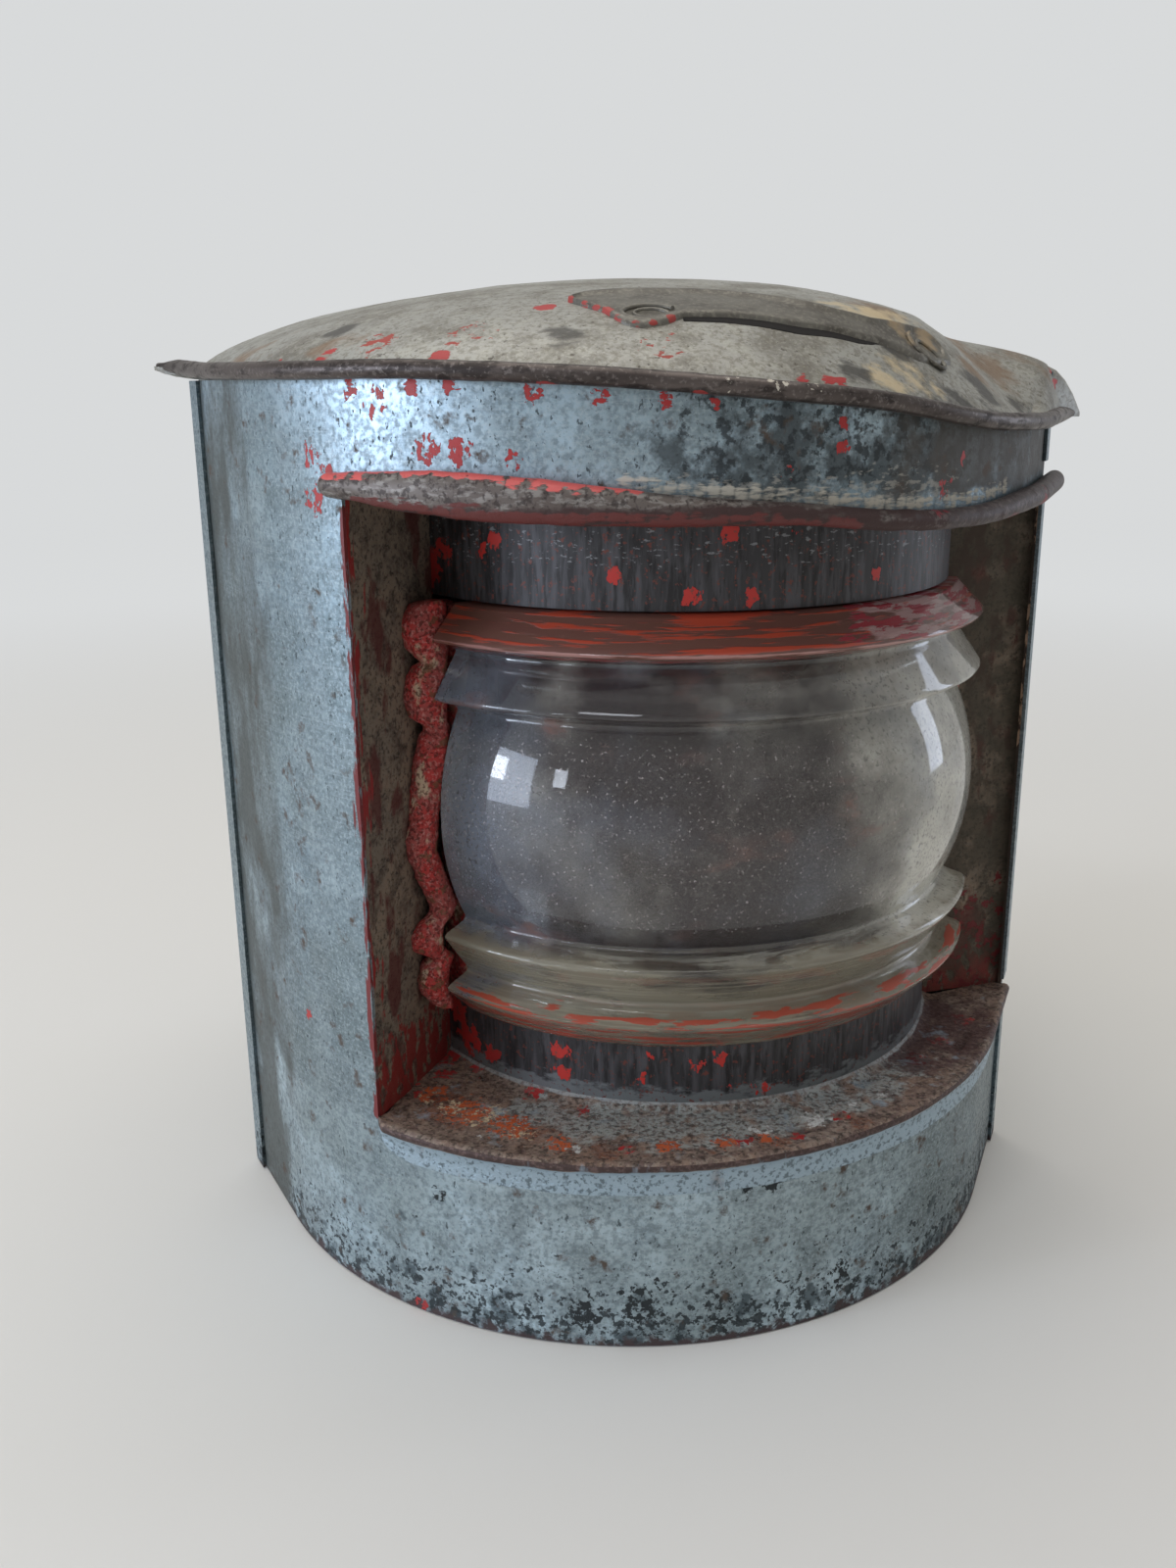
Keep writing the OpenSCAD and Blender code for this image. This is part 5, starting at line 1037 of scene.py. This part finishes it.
hood_bead = sweep(
    "hood_bead",
    [[*on_front(u, ROLL_OUT), hood_mid(u) + 0.2 * wobble(u, 3, 12)] for u in lip_path],
    [outward(u) for u in lip_path], section, hood_finish,
    scales=[(ROLL_HALF * k, half_height(u) * k) for u, k in zip(lip_path, round_end)])
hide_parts("hood_edge_wire")

# %% Ceiling of the recess
COLLAR_ENDS = (math.radians(-58), math.radians(80))
LENS_C = np.array([LENS_X, LENS_Y])
CEILING_Z, CEILING_R = 202.7, 74


def recess_net(shares, radius, edge_d, heights):
    """Rows from a circle about the lens out to the front: each share has its height."""
    rows = []
    for share, height in zip(shares, heights):
        row = []
        for k in np.linspace(0, 1, 130):
            inner = LENS_C + radius * ahead(COLLAR_ENDS[0] + k * (COLLAR_ENDS[1] - COLLAR_ENDS[0]))
            u = WINDOW[0] + k * (WINDOW[1] - WINDOW[0])
            x, y = inner + share * (on_front(u, edge_d) - inner)
            row.append((x, y, height(u)))
        rows.append(row)
    return rows


shares = np.linspace(0, 1, 9)
ceiling = [lambda u, s=s: CEILING_Z + float(ease(s, 0.1, 1)) * (hood_mid(u) - 0.7 - CEILING_Z)
           for s in shares]
recess_ceiling = plate(
    "recess_ceiling", recess_net(shares, CEILING_R, 0.3, ceiling),
    recess_net(shares, CEILING_R, 0.3, [lambda u, f=f: f(u) + SHEET for f in ceiling]),
    hood_finish)
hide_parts("recess_hood")

# %% Shelf with its lip and lap
# Sections of the rolled edge as (distance out from the front, height), outside and inside.
LIP = [(-3, 52.1), (-1, 52.1), (0, 52.2), (1.0, 52.5), (1.9, 52.3), (2.5, 51.6), (2.6, 50.8),
       (2.2, 50.0), (1.6, 49.4), (1.15, 48.6), (1.1, 46), (1.1, 43.2)]
LIP_IN = [(-3, 51.05), (-1, 51.05), (0, 51.1), (0.5, 51.2), (1.0, 51.2), (1.4, 51.0), (1.5, 50.6),
          (1.2, 50.2), (0.6, 49.8), (0.08, 48.6), (0.08, 46), (0.08, 43.3)]
LAP_Z = 49.5    # under this height the edge laps over the front sheet


def shelf_net(lip, inside):
    """Rows from the foot of the collar out over the rolled edge and down the lap."""
    rows = []
    steps = np.linspace(0, 1, 150)
    angles = COLLAR_ENDS[0] + steps * (COLLAR_ENDS[1] - COLLAR_ENDS[0])
    us = WINDOW[0] + steps * (WINDOW[1] - WINDOW[0])
    floor = SHELF_Z - (SHEET if inside else 0)
    foot = 0.0 if inside else 1.6    # mm, the height of the solder round the collar
    for r, high in ((59, 0), (75.6, 0), (75.9, foot), (76.8, 0.6 * foot), (78.2, 0.1 * foot)):
        rows.append([(*(LENS_C + r * ahead(a)), floor + high) for a in angles])
    start = np.array([LENS_C + 79.5 * ahead(a) for a in angles])
    edge = np.array([on_front(u, -3.5) for u in us])
    for share in np.linspace(0, 1, 8):
        points = start + share * (edge - start)
        rows.append([(x, y, floor + (0 if inside else 0.25 * wobble(x, y, 15) * share))
                     for x, y in points])
    for d, z in lip:
        row = []
        for u in us:
            near_end = max(0.0, 1 - (u - us[0]) / 14) if u < 0 else 0.0
            grow = float(ease(u, us[0], us[0] + 3)) if d > 0.1 else 1.0
            lift = 0.0 if z > LAP_Z else (1 - math.sqrt(1 - near_end ** 2)) * (LAP_Z - z)
            x, y = on_front(u, 0.1 + (d - 0.1) * grow if d > 0.1 else d)
            row.append((x, y, z + lift + 0.15 * wobble(u, 9, 14) * float(ease(d, 0, 1.5))))
        rows.append(row)
    return rows


recess_shelf = plate("recess_shelf", shelf_net(LIP, False), shelf_net(LIP_IN, True),
                     shelf_finish, crease=50)
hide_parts("shelf_plate")

# %% Walls of the recess
WALL_TOP, WALL_R = 202.4, 76    # mm, height and distance from the lens at the inner edge


def screen(name, inner, outer, side, u):
    """A flat wall, a little buckled, up to the ceiling and to the hood's height at u."""
    way = (outer - inner) / np.linalg.norm(outer - inner)
    back = side * np.array([way[1], -way[0]])
    faces = [[], []]
    for t in np.linspace(0, 1, 24):
        for face in faces:
            face.append([])
        for s in np.linspace(0, 1, 14):
            top = WALL_TOP + float(ease(s, 0.1, 1)) * (hood_mid(u) - (WALL_TOP + 1))
            high = SHELF_Z + t * (top - SHELF_Z)
            dent = 0.35 * wobble(high, s * 40, 26) * math.sin(math.pi * s)
            for k, thick in enumerate((0, SHEET)):
                x, y = inner + s * (outer - inner) + (thick + dent) * back
                faces[k][-1].append((x, y, high))
    return plate(name, faces[0], faces[1], screen_finish)


left_in, left_out = LENS_C + WALL_R * ahead(COLLAR_ENDS[0]), (FRONT_R - 1) * ahead(-WINDOW_A)
right_in, right_out = LENS_C + WALL_R * ahead(COLLAR_ENDS[1]), corner(-1, -1) - 2 * FLANK
left_wall = screen("left_recess_wall", left_in, left_out, 1, WINDOW[0])
right_wall = screen("right_recess_wall", right_in, right_out, -1, WINDOW[1])
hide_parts("left_screen")
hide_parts("right_screen")

# %% [markdown]
# ## The ring lens and its putty
#
# The lens is one piece of pressed glass: a bulging belt between two ring prisms above and two
# below, which send the light of the flame out level. It is turned from a profile, as a Screw
# modifier would do, but only through the angle of the recess. Pressed edges are never sharp,
# so the profile is blurred by about 0.6 mm before it is turned.
#
# The putty is a bed at each end of the glass. On the left a rope of it was pressed into the
# corner by hand. It could be sculpted, but a table of its bends and lumps, row by row, can be
# read and changed.

# %% Lens
PRESSED = 0.62                          # mm, the blur that stands for pressed edges
GLASS_ENDS = (-48, 74)                  # degrees about the lens's middle, from straight ahead
GLASS_BACK_R, BELT_R = 71.0, 85.5       # mm


def lens_profile():
    """Heights, in mm from the middle of the glass, and the radius at each of them."""
    belt, tall, low, rise = 56.6, 14.6, 11.3, 2.5    # heights of belt, prisms and their undersides
    foot, crest = 78.0, 86.5                         # radius in the grooves and on the edges
    bulge = BELT_R - foot - 0.3
    arc = (belt * belt / 4 + bulge * bulge) / (2 * bulge)
    half = belt / 2 + tall + low
    heights = np.linspace(-half, half, 330)
    radii = []
    for z in heights:
        h = abs(z)
        if h <= belt / 2:
            radii.append(BELT_R - arc + math.sqrt(arc * arc - h * h))
            continue
        start, size = (belt / 2, tall) if h < belt / 2 + tall else (belt / 2 + tall, low)
        up = h - start
        radii.append(foot + (crest - foot) * (up / rise if up < rise else
                                              (size - up) / (size - rise)))
    soft = blurred(radii, heights[1] - heights[0], PRESSED, 12)
    return heights[::2], soft[::2]


heights, radii = lens_profile()
turned_to = np.radians(np.linspace(*GLASS_ENDS, 150))


def lens_net(radius_at):
    return [[(*(LENS_C + r * ahead(a)), LENS_Z + z) for a in turned_to]
            for z, r in zip(heights, radius_at)]


ring_lens = plate("ring_lens", lens_net(radii), lens_net([GLASS_BACK_R] * len(radii)),
                  lens_glass, crease=60)
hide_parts("fresnel_lens")

# %% Beds of putty
PUTTY_Z, PUTTY_R, PUTTY_BACK_R = (71.5, 177.5), 75.8, 73.0    # mm


def putty(name, start, end, lumps, out):
    """A ribbon of lumps along the end of the glass. Each lump is (low z, high z, bulge)."""
    rows, inner = [], []
    for z in np.linspace(*PUTTY_Z, 130):
        bulge = 1.0
        for low, high, far in lumps:
            share = (z - low) / (high - low)
            if 0 < share < 1:
                bulge = max(bulge, far * (4 * share * (1 - share)) ** 0.45)
        row = []
        for t in np.linspace(0, 1, 18):
            a = math.radians(start + t * (end - start))
            crown = (math.sin(math.pi * (0.06 + 0.88 * t))) ** 0.6
            r = PUTTY_R + out * bulge * crown + 0.45 * wobble(z * 1.3, t * 14, 5) * crown
            row.append((*(LENS_C + r * ahead(a)), z + 0.5 * wobble(t * 12, z, 9)))
        rows.append(row)
        inner.append([(*(LENS_C + PUTTY_BACK_R * ahead(math.radians(start + t * (end - start)))),
                       z) for t in np.linspace(0, 1, 18)])
    return plate(name, rows, inner, putty_finish, crease=70)


left_putty = putty("left_putty_bed", -57.6, -48.15, [], 2.2)
right_putty = putty("right_putty", 74.15, 79.5, [
    (162, 177, 5.0), (140, 161, 5.5), (118, 141, 5.0), (98, 117, 6.0), (72, 96, 5.0)], 1.0)
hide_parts("left_lens_seal")
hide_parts("right_lens_seal")

# %% Rope of putty
# Each row of the rope of putty is (height, place in x, radius)
ROPE = [(179.5, -50.5, 1.2), (178.3, -52.0, 3.8), (175, -53.2, 5.2), (171, -53.4, 5.5),
        (167.5, -52.8, 5.0), (165.2, -51.6, 3.6), (164.2, -51.0, 2.8), (162.6, -52.2, 3.8),
        (159, -53.4, 4.8), (154, -53.8, 5.0), (150.6, -53.0, 4.2), (148.6, -51.4, 2.8),
        (147.6, -51.0, 2.8), (145.5, -51.6, 3.5), (140, -52.6, 3.7), (133, -53.7, 3.7),
        (126, -54.8, 3.4), (119, -55.9, 3.6), (116, -55.8, 3.3), (110, -54.2, 3.2),
        (104, -52.4, 3.3), (100.5, -51.2, 3.2), (98.2, -51.8, 2.6), (96.4, -53.8, 2.8),
        (93, -55.8, 3.7), (89.5, -55.4, 3.4), (87.6, -53.2, 2.6), (86.6, -52.0, 2.6),
        (84.6, -53.4, 3.3), (80.5, -54.6, 3.7), (76.5, -54.0, 3.3), (73.8, -52.4, 2.4),
        (72.4, -51.0, 1.0)]
PRESSED_IN, FATTER, CLEAR = 1.0, 0.6, 0.4    # mm: into the corner, thicker, off the glass
ACROSS_END, ALONG_END = 0.743, 0.669         # sine and cosine of 48 degrees, the glass's end
heights_of_rope, xs_of_rope, radii_of_rope = (np.array(c[::-1]) for c in zip(*ROPE))
verts, faces, around = [], [], 22
levels = np.linspace(72.5, 179.4, 190)
for z in levels:
    x0 = float(np.interp(z, heights_of_rope, xs_of_rope)) - PRESSED_IN
    thick = float(np.interp(z, heights_of_rope, radii_of_rope)) + FATTER
    r = (LENS_X - ALONG_END * (thick + CLEAR) - x0) / ACROSS_END
    y0 = LENS_Y - ALONG_END * r + ACROSS_END * (thick + CLEAR)
    for k in range(around):
        t = 2 * math.pi * k / around
        rough = thick + 0.32 * wobble(z * 1.4, 3 * math.sin(t) + 5 * math.cos(t), 5)
        verts.append((x0 + rough * math.cos(t), y0 + rough * math.sin(t), z))
for i in range(len(levels) - 1):
    for k in range(around):
        m = (k + 1) % around
        faces.append((i * around + k, i * around + m, (i + 1) * around + m,
                      (i + 1) * around + k))
faces += [tuple(range(around)), tuple(range(len(verts) - around, len(verts)))]
putty_rope = new_piece("left_putty_rope", verts, faces, putty_finish, crease=80)

# %% [markdown]
# ## The lid
#
# The lid is pressed from one sheet: a low dome that runs out into a flange, with a bead rolled
# round the front. It could be sculpted, but then its edge would not stay on the plan. It is a
# net in polar form instead, with rings from the top of the dome out to the edge, and each ring
# is cut by the plan.
#
# Two measured lines and one knock shape it: the height of the bead all the way along, which
# sags on the right where the lid was dropped, the dip of the rim under it, and the right
# corner of the dome, pressed down. The corners of the flange are drawn out to flat tips, the
# left one turned up and the right one turned down.

# %% Lines of the lid
TIP = corner(7.5, 12)
TIP_A = math.atan2(TIP[0], -TIP[1])                                    # its direction
TIP_U = FRONT_R * HALF + float((TIP - FRONT_R * ahead(HALF)) @ FLANK)  # its length along
BACK_EDGE_Z = 232.2                                                    # mm, the edge behind
DOME_EDGE = loop(-1, -1)
way_round = np.unique(np.concatenate([
    np.radians(np.linspace(-180, 180, 241)[:-1]),
    [sign * TIP_A + step for sign in (-1, 1) for step in (-0.02, 0, 0.02)]]))
edge_at = [reach(DOME_EDGE, a) for a in way_round]


def along(a):
    """The length along the front and flank that lies in the direction a, or None behind."""
    b = abs(a)
    if b > TIP_A:
        return None
    u = FRONT_R * b if b <= HALF else FRONT_R * (HALF + math.tan(b - HALF))
    return math.copysign(u, a)


def outer_height(a):
    """Height of the lid's edge in the direction a."""
    u = along(a)
    if u is not None:
        return bead_mid(u)
    tip_z = bead_mid(math.copysign(TIP_U, a))
    return BACK_EDGE_Z + (tip_z - BACK_EDGE_Z) * float(1 - ease(abs(a), TIP_A, TIP_A + 0.42))


print("tips of the lid at", [round(v, 1) for v in TIP], "mm, left one at height",
      round(outer_height(-TIP_A), 1), "and right one at", round(outer_height(TIP_A), 1))

# %% Height of the dome
RISE, FULLNESS = 23.3, 0.65        # mm, and the power that makes the dome full or pointed
DENT_X, DENT_R, DENT_SOFT, DENT_SHARE = 110, 80, 55, 0.45    # mm, mm, mm, share pressed down
SAG_FROM = 0.74                    # share of the way out at which the dome starts to sag


def lid_height(x, y):
    """Height of the dome over a point of the plan. A knock pressed its right corner down."""
    a = math.atan2(x, -y)
    s = min(1.0, math.hypot(x, y) / reach(DOME_EDGE, a))
    u = along(a)
    sunk = dip(u) if u is not None else 0.0
    pressed = DENT_SHARE * float(ease(DENT_R - math.hypot(x - DENT_X, y), 0, DENT_SOFT))
    dome = RISE * max(0.0, 1 - s * s) ** FULLNESS * (1 - pressed)
    return RIM_Z + dome - sunk * float(ease(s, SAG_FROM, 1.0))


rim_heights = [lid_height(*(r * ahead(a))) for a, r in zip(way_round, edge_at)]
print("dome from", round(min(rim_heights), 1), "to", round(lid_height(0, 0), 1), "mm")

# %% Lid shell
# Rings of the flange: share of the way to the edge, mm out in front, mm out behind.
FLANGE = [(0.25, 0.2, 2), (0.5, 1.3, 5), (0.75, 2.5, 9), (1.0, 3.6, 11.9)]
TIPS_OUT = 3.9                     # mm that the tips stand out further than the edge
FLANGE_CURVE = 1.8                 # above 1, the flange leaves the rim level before it bends
DOME_RINGS, UNEVEN = 20, 0.2       # count, and mm


def lid_net(down):
    """Rings of points from the top of the dome to the edge, moved down by the thickness."""
    rows = []
    for k in range(DOME_RINGS + 1):
        s = math.sin(math.radians(90 * k / DOME_RINGS))
        row = []
        for a, r in zip(way_round, edge_at):
            x, y = s * r * ahead(a)
            uneven = UNEVEN * wobble(s * r * math.sin(a), s * r * math.cos(a), 40)
            row.append((x, y, lid_height(x, y) - down + uneven * ease(s, 0, 0.4)))
        rows.append(row)
    for t, d, e in FLANGE:
        ring = loop(d, e, tip=d + TIPS_OUT * t)
        rows.append([(*(reach(ring, a) * ahead(a)),
                      rim + (outer_height(a) - rim) * t ** FLANGE_CURVE - down)
                     for a, rim in zip(way_round, rim_heights)])
    return rows


lid_shell = plate("lid_shell", lid_net(0.0), lid_net(SHEET), lid_finish, body="lid",
                  closed=True)
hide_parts("lid_pillow", "lid_flange")

# %% Rolled bead of the lid
# Over the last 16 mm before each tip the bead moves out and gets thinner.
BEAD_OUT, BEAD_R = 3.9, 2.0        # mm: its middle outside the front of the case, and its radius
bead_us = np.linspace(-TIP_U + 0.5, TIP_U - 0.5, 330)
to_tip = [float(ease(abs(u), TIP_U - 16, TIP_U)) for u in bead_us]
round_section = [(math.cos(t), math.sin(t)) for t in np.linspace(0, 2 * math.pi, 17)[:-1]]
lid_bead = sweep(
    "lid_bead", [[*on_front(u, BEAD_OUT + 2.2 * k), bead_mid(u) + 0.1 * wobble(u, 5, 16)]
                 for u, k in zip(bead_us, to_tip)],
    [outward(u) for u in bead_us], round_section, bead_finish, body="lid",
    scales=[(BEAD_R - 1.1 * k, BEAD_R - 1.3 * k) for k in to_tip])
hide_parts("lid_edge_wire")


# %% Skirt inside the lid
SKIRT_Z, SKIRT_H, SKIRT_IN = 223.5, 7.8, 1.35    # mm: foot, height, and how far inside the case


def skirt_net(d):
    """Three rows of points, moved out by d, that dip where the rim of the case is bent."""
    rows = []
    right = [on_front(u, d) for u in np.linspace(0, FRONT_R * HALF, 48)] + [
        (1 - t) * on_front(FRONT_R * HALF, d) + t * corner(d, d) for t in np.linspace(0.1, 1, 12)]
    back = [(1 - t) * corner(d, d) + t * np.array([0, math.sqrt(2) * (BACK_D + d)])
            for t in np.linspace(0.06, 1, 10)]
    half = right + back
    points = half + [np.array([-p[0], p[1]]) for p in half[-2:0:-1]]
    for t in (0.0, 0.5, 1.0):
        row = []
        for x, y in points:
            u = along(math.atan2(x, -y))
            low = dip(u) if u is not None else 0.0
            row.append((x, y, SKIRT_Z + t * SKIRT_H - low))
        rows.append(row)
    return rows


lid_rim = plate("lid_inner_skirt", skirt_net(-SKIRT_IN), skirt_net(-SKIRT_IN - SHEET),
                lid_finish, body="lid", closed=True)
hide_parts("lid_skirt")

# %% [markdown]
# ## The ribbon on the lid
#
# A plain ribbon is embossed on the front of the dome, with a raised border and a scroll at each
# end. Its lower edge stands off the dome and leaves a slit, drawn as a black strip of painted
# shadow. It could be wrapped onto the lid with a Shrinkwrap modifier. Here it is laid out in
# plan, and each point takes its height from the same function as the dome, so it follows the
# dent too.

# %% Outline of the ribbon
# Points in plan, in mm, from left to right.
UPPER = [(-18.4, -77.4), (-16.8, -73.8), (-14.0, -71.0), (-6.2, -69.0), (1.8, -69.1), (13.9, -69.8),
         (22.5, -71.8), (33.3, -74.7), (41.2, -75.4), (50.0, -72.9), (60.1, -66.2), (66.4, -61.8),
         (69.0, -62.3), (71.4, -65.4)]
LOWER = [(-18.0, -78.4), (-15.0, -83.2), (-11.4, -87.3), (-8.0, -93.0), (-4.5, -95.4), (1.7, -93.4),
         (5.5, -90.0), (13.7, -88.7), (23.1, -87.5), (31.0, -86.8), (39.4, -84.2), (45.4, -82.6),
         (54.6, -78.2), (61.1, -76.0), (66.4, -72.2), (71.2, -66.6)]


def line_at(points, t):
    """A point at the share t along a line of points."""
    points = np.asarray(points, float)
    size = np.concatenate([[0], np.cumsum(np.linalg.norm(np.diff(points, axis=0), axis=1))])
    return np.array([np.interp(t * size[-1], size, points[:, k]) for k in (0, 1)])


def on_lid(x, y, up):
    """The point of the dome over (x, y), lifted by up."""
    return (x, y, lid_height(x, y) + up)


print("the ribbon is", round(UPPER[-1][0] - UPPER[0][0], 1), "mm wide in plan")

# %% Ribbon
# Its section: share of the way across, and mm above the dome.
ACROSS = [(0.0, -0.3), (0.005, 0.6), (0.03, 1.0), (0.09, 1.0), (0.13, 0.4), (0.32, 0.35),
          (0.5, 0.4), (0.7, 0.5), (0.86, 0.6), (0.90, 1.2), (0.96, 1.2), (0.995, 0.9),
          (1.0, 0.1)]
BORDER, VERY_END = 0.03, 0.003    # shares of the length: the border at either end, and its edge
ribbon, ribbon_back = [], []
for t in np.concatenate([[0, 0.004, 0.012, 0.024, 0.032], np.linspace(0.05, 0.95, 44),
                         [0.968, 0.976, 0.988, 0.996, 1.0]]):
    end = min(t, 1 - t)
    row, under = [], []
    for v, high in ACROSS:
        x, y = line_at(UPPER, t) * (1 - v) + line_at(LOWER, t) * v
        if end < BORDER:
            high = max(high, 1.0) if end > VERY_END else -0.3
        row.append(on_lid(x, y, high))
        under.append(on_lid(x, y, min(high - 0.15, -0.4)))
    ribbon.append(row)
    ribbon_back.append(under)
lid_ribbon = plate("lid_ribbon", ribbon, ribbon_back, ribbon_finish, body="lid", crease=50)
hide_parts("banner_plate")


# %% Scrolls
def scroll(name, x, y, long, wide, turn):
    """An oval scroll of sheet, rolled round itself, lying on the dome."""
    turns, shrink, thick = 1.6, 0.62, 0.6
    path, outs, scales = [], [], []
    for t in np.linspace(0, 1, 70):
        angle = turn + 2 * math.pi * turns * t
        size = 1 - shrink * t
        px = x + long * size * math.cos(angle)
        py = y + wide * size * math.sin(angle)
        path.append(on_lid(px, py, 0.5 + 0.3 * (1 - t)))
        outs.append(np.array([math.cos(angle), math.sin(angle)]))
        scales.append((thick * (1 - 0.4 * t), thick * (1 - 0.3 * t)))
    made = sweep(name, path, outs, round_section, ribbon_finish, body="lid", scales=scales)


scroll("left_scroll", -1.8, -89.9, 6.6, 4.0, 0.6)
scroll("right_scroll", 64.6, -70.8, 5.0, 3.2, 2.6)

# %% Painted shadow in the slit
# A black, quite matt strip of painted shadow in the gap under the ribbon, so that the gap
# looks deeper than it is. Its grain is about 1 mm wide, and only keeps the black from looking
# flat.
slit_dark, slit_tree = new_material("painted_shadow_in_the_slit")
slit_where = add(slit_tree, "TexCoord").outputs["Object"]
slit_grain = add(slit_tree, "TexNoise", {"Vector": slit_where, "Scale": 900.0})
slit_tone = add(slit_tree, "Mix", {0: slit_grain.outputs[0], 6: hex_colour("#0E0C0B"),
                                   7: hex_colour("#1D1816")}, data_type="RGBA")
slit_shader = add(slit_tree, "BsdfPrincipled", {"Base Color": slit_tone.outputs[2],
                                                "Roughness": 0.95})
add(slit_tree, "OutputMaterial", {"Surface": slit_shader.outputs[0]})
print("soot has", len(slit_tree.nodes), "nodes")

# %% Slit under the ribbon
SLIT_W = 2.4    # mm, at its widest
SLIT = [(5.6, -89.9), (13.7, -88.6), (23.1, -87.4), (31.0, -86.7), (39.4, -84.1), (45.4, -82.5),
        (54.6, -78.1)]
rows, under = [], []
for v in (0.0, 0.5, 1.0):
    rows.append([])
    under.append([])
    for t in np.linspace(0, 1, 40):
        wide = SLIT_W * math.sin(math.pi * min(1, 0.1 + t)) ** 0.5 if t < 0.999 else 0.1
        x, y = line_at(SLIT, t) - (0, v * wide)
        rows[-1].append(on_lid(x, y, 0.12))
        under[-1].append(on_lid(x, y, -0.3))
lid_slit = plate("ribbon_slit", rows, under, slit_dark, body="lid")

# %% [markdown]
# ## The other pieces
#
# The backs, the floor, the collars and everything inside keep the shape of the engineering
# model, and get the finish that the real piece has. Each could be remade as the lid was, but
# they are plain turned or bent pieces, and nothing in their shape is missing.

# %% Finishes of the other pieces
DRESS = {
    zinc: ["back_sheet", "base_floor"],
    collar_finish: ["lower_lens_collar", "upper_lens_collar"],
    ruby_glass: ["red_filter_glass"],
    tin_finish: ["filter_frame", "reflector_bracket", "font_locating_ring", "oil_font",
                 "heat_baffle", "baffle_posts"],
    mirror_finish: ["reflector"],
    brass_finish: ["burner_neck", "filler_neck", "burner_collar", "burner_basket", "wick_tube",
                   "dome_hinge_pin", "wick_spindle", "wick_knob", "burner_dome", "filler_cap",
                   "reflector_rivet"],
    cork_finish: ["filler_gasket"],
    wick_finish: ["wick"],
    iron_finish: ["mounting_socket", "case_hinge_leaf", "lid_hinge_leaf", "lid_hinge_pin"],
    rivet_finish: ["socket_rivets", "case_hinge_rivets", "lid_hinge_rivets"],
}
for material, nodes in DRESS.items():
    for node in nodes:
        for place in bpy.data.objects[node].material_slots:
            place.material = material
print("dressed", sum(len(nodes) for nodes in DRESS.values()), "pieces of the model")
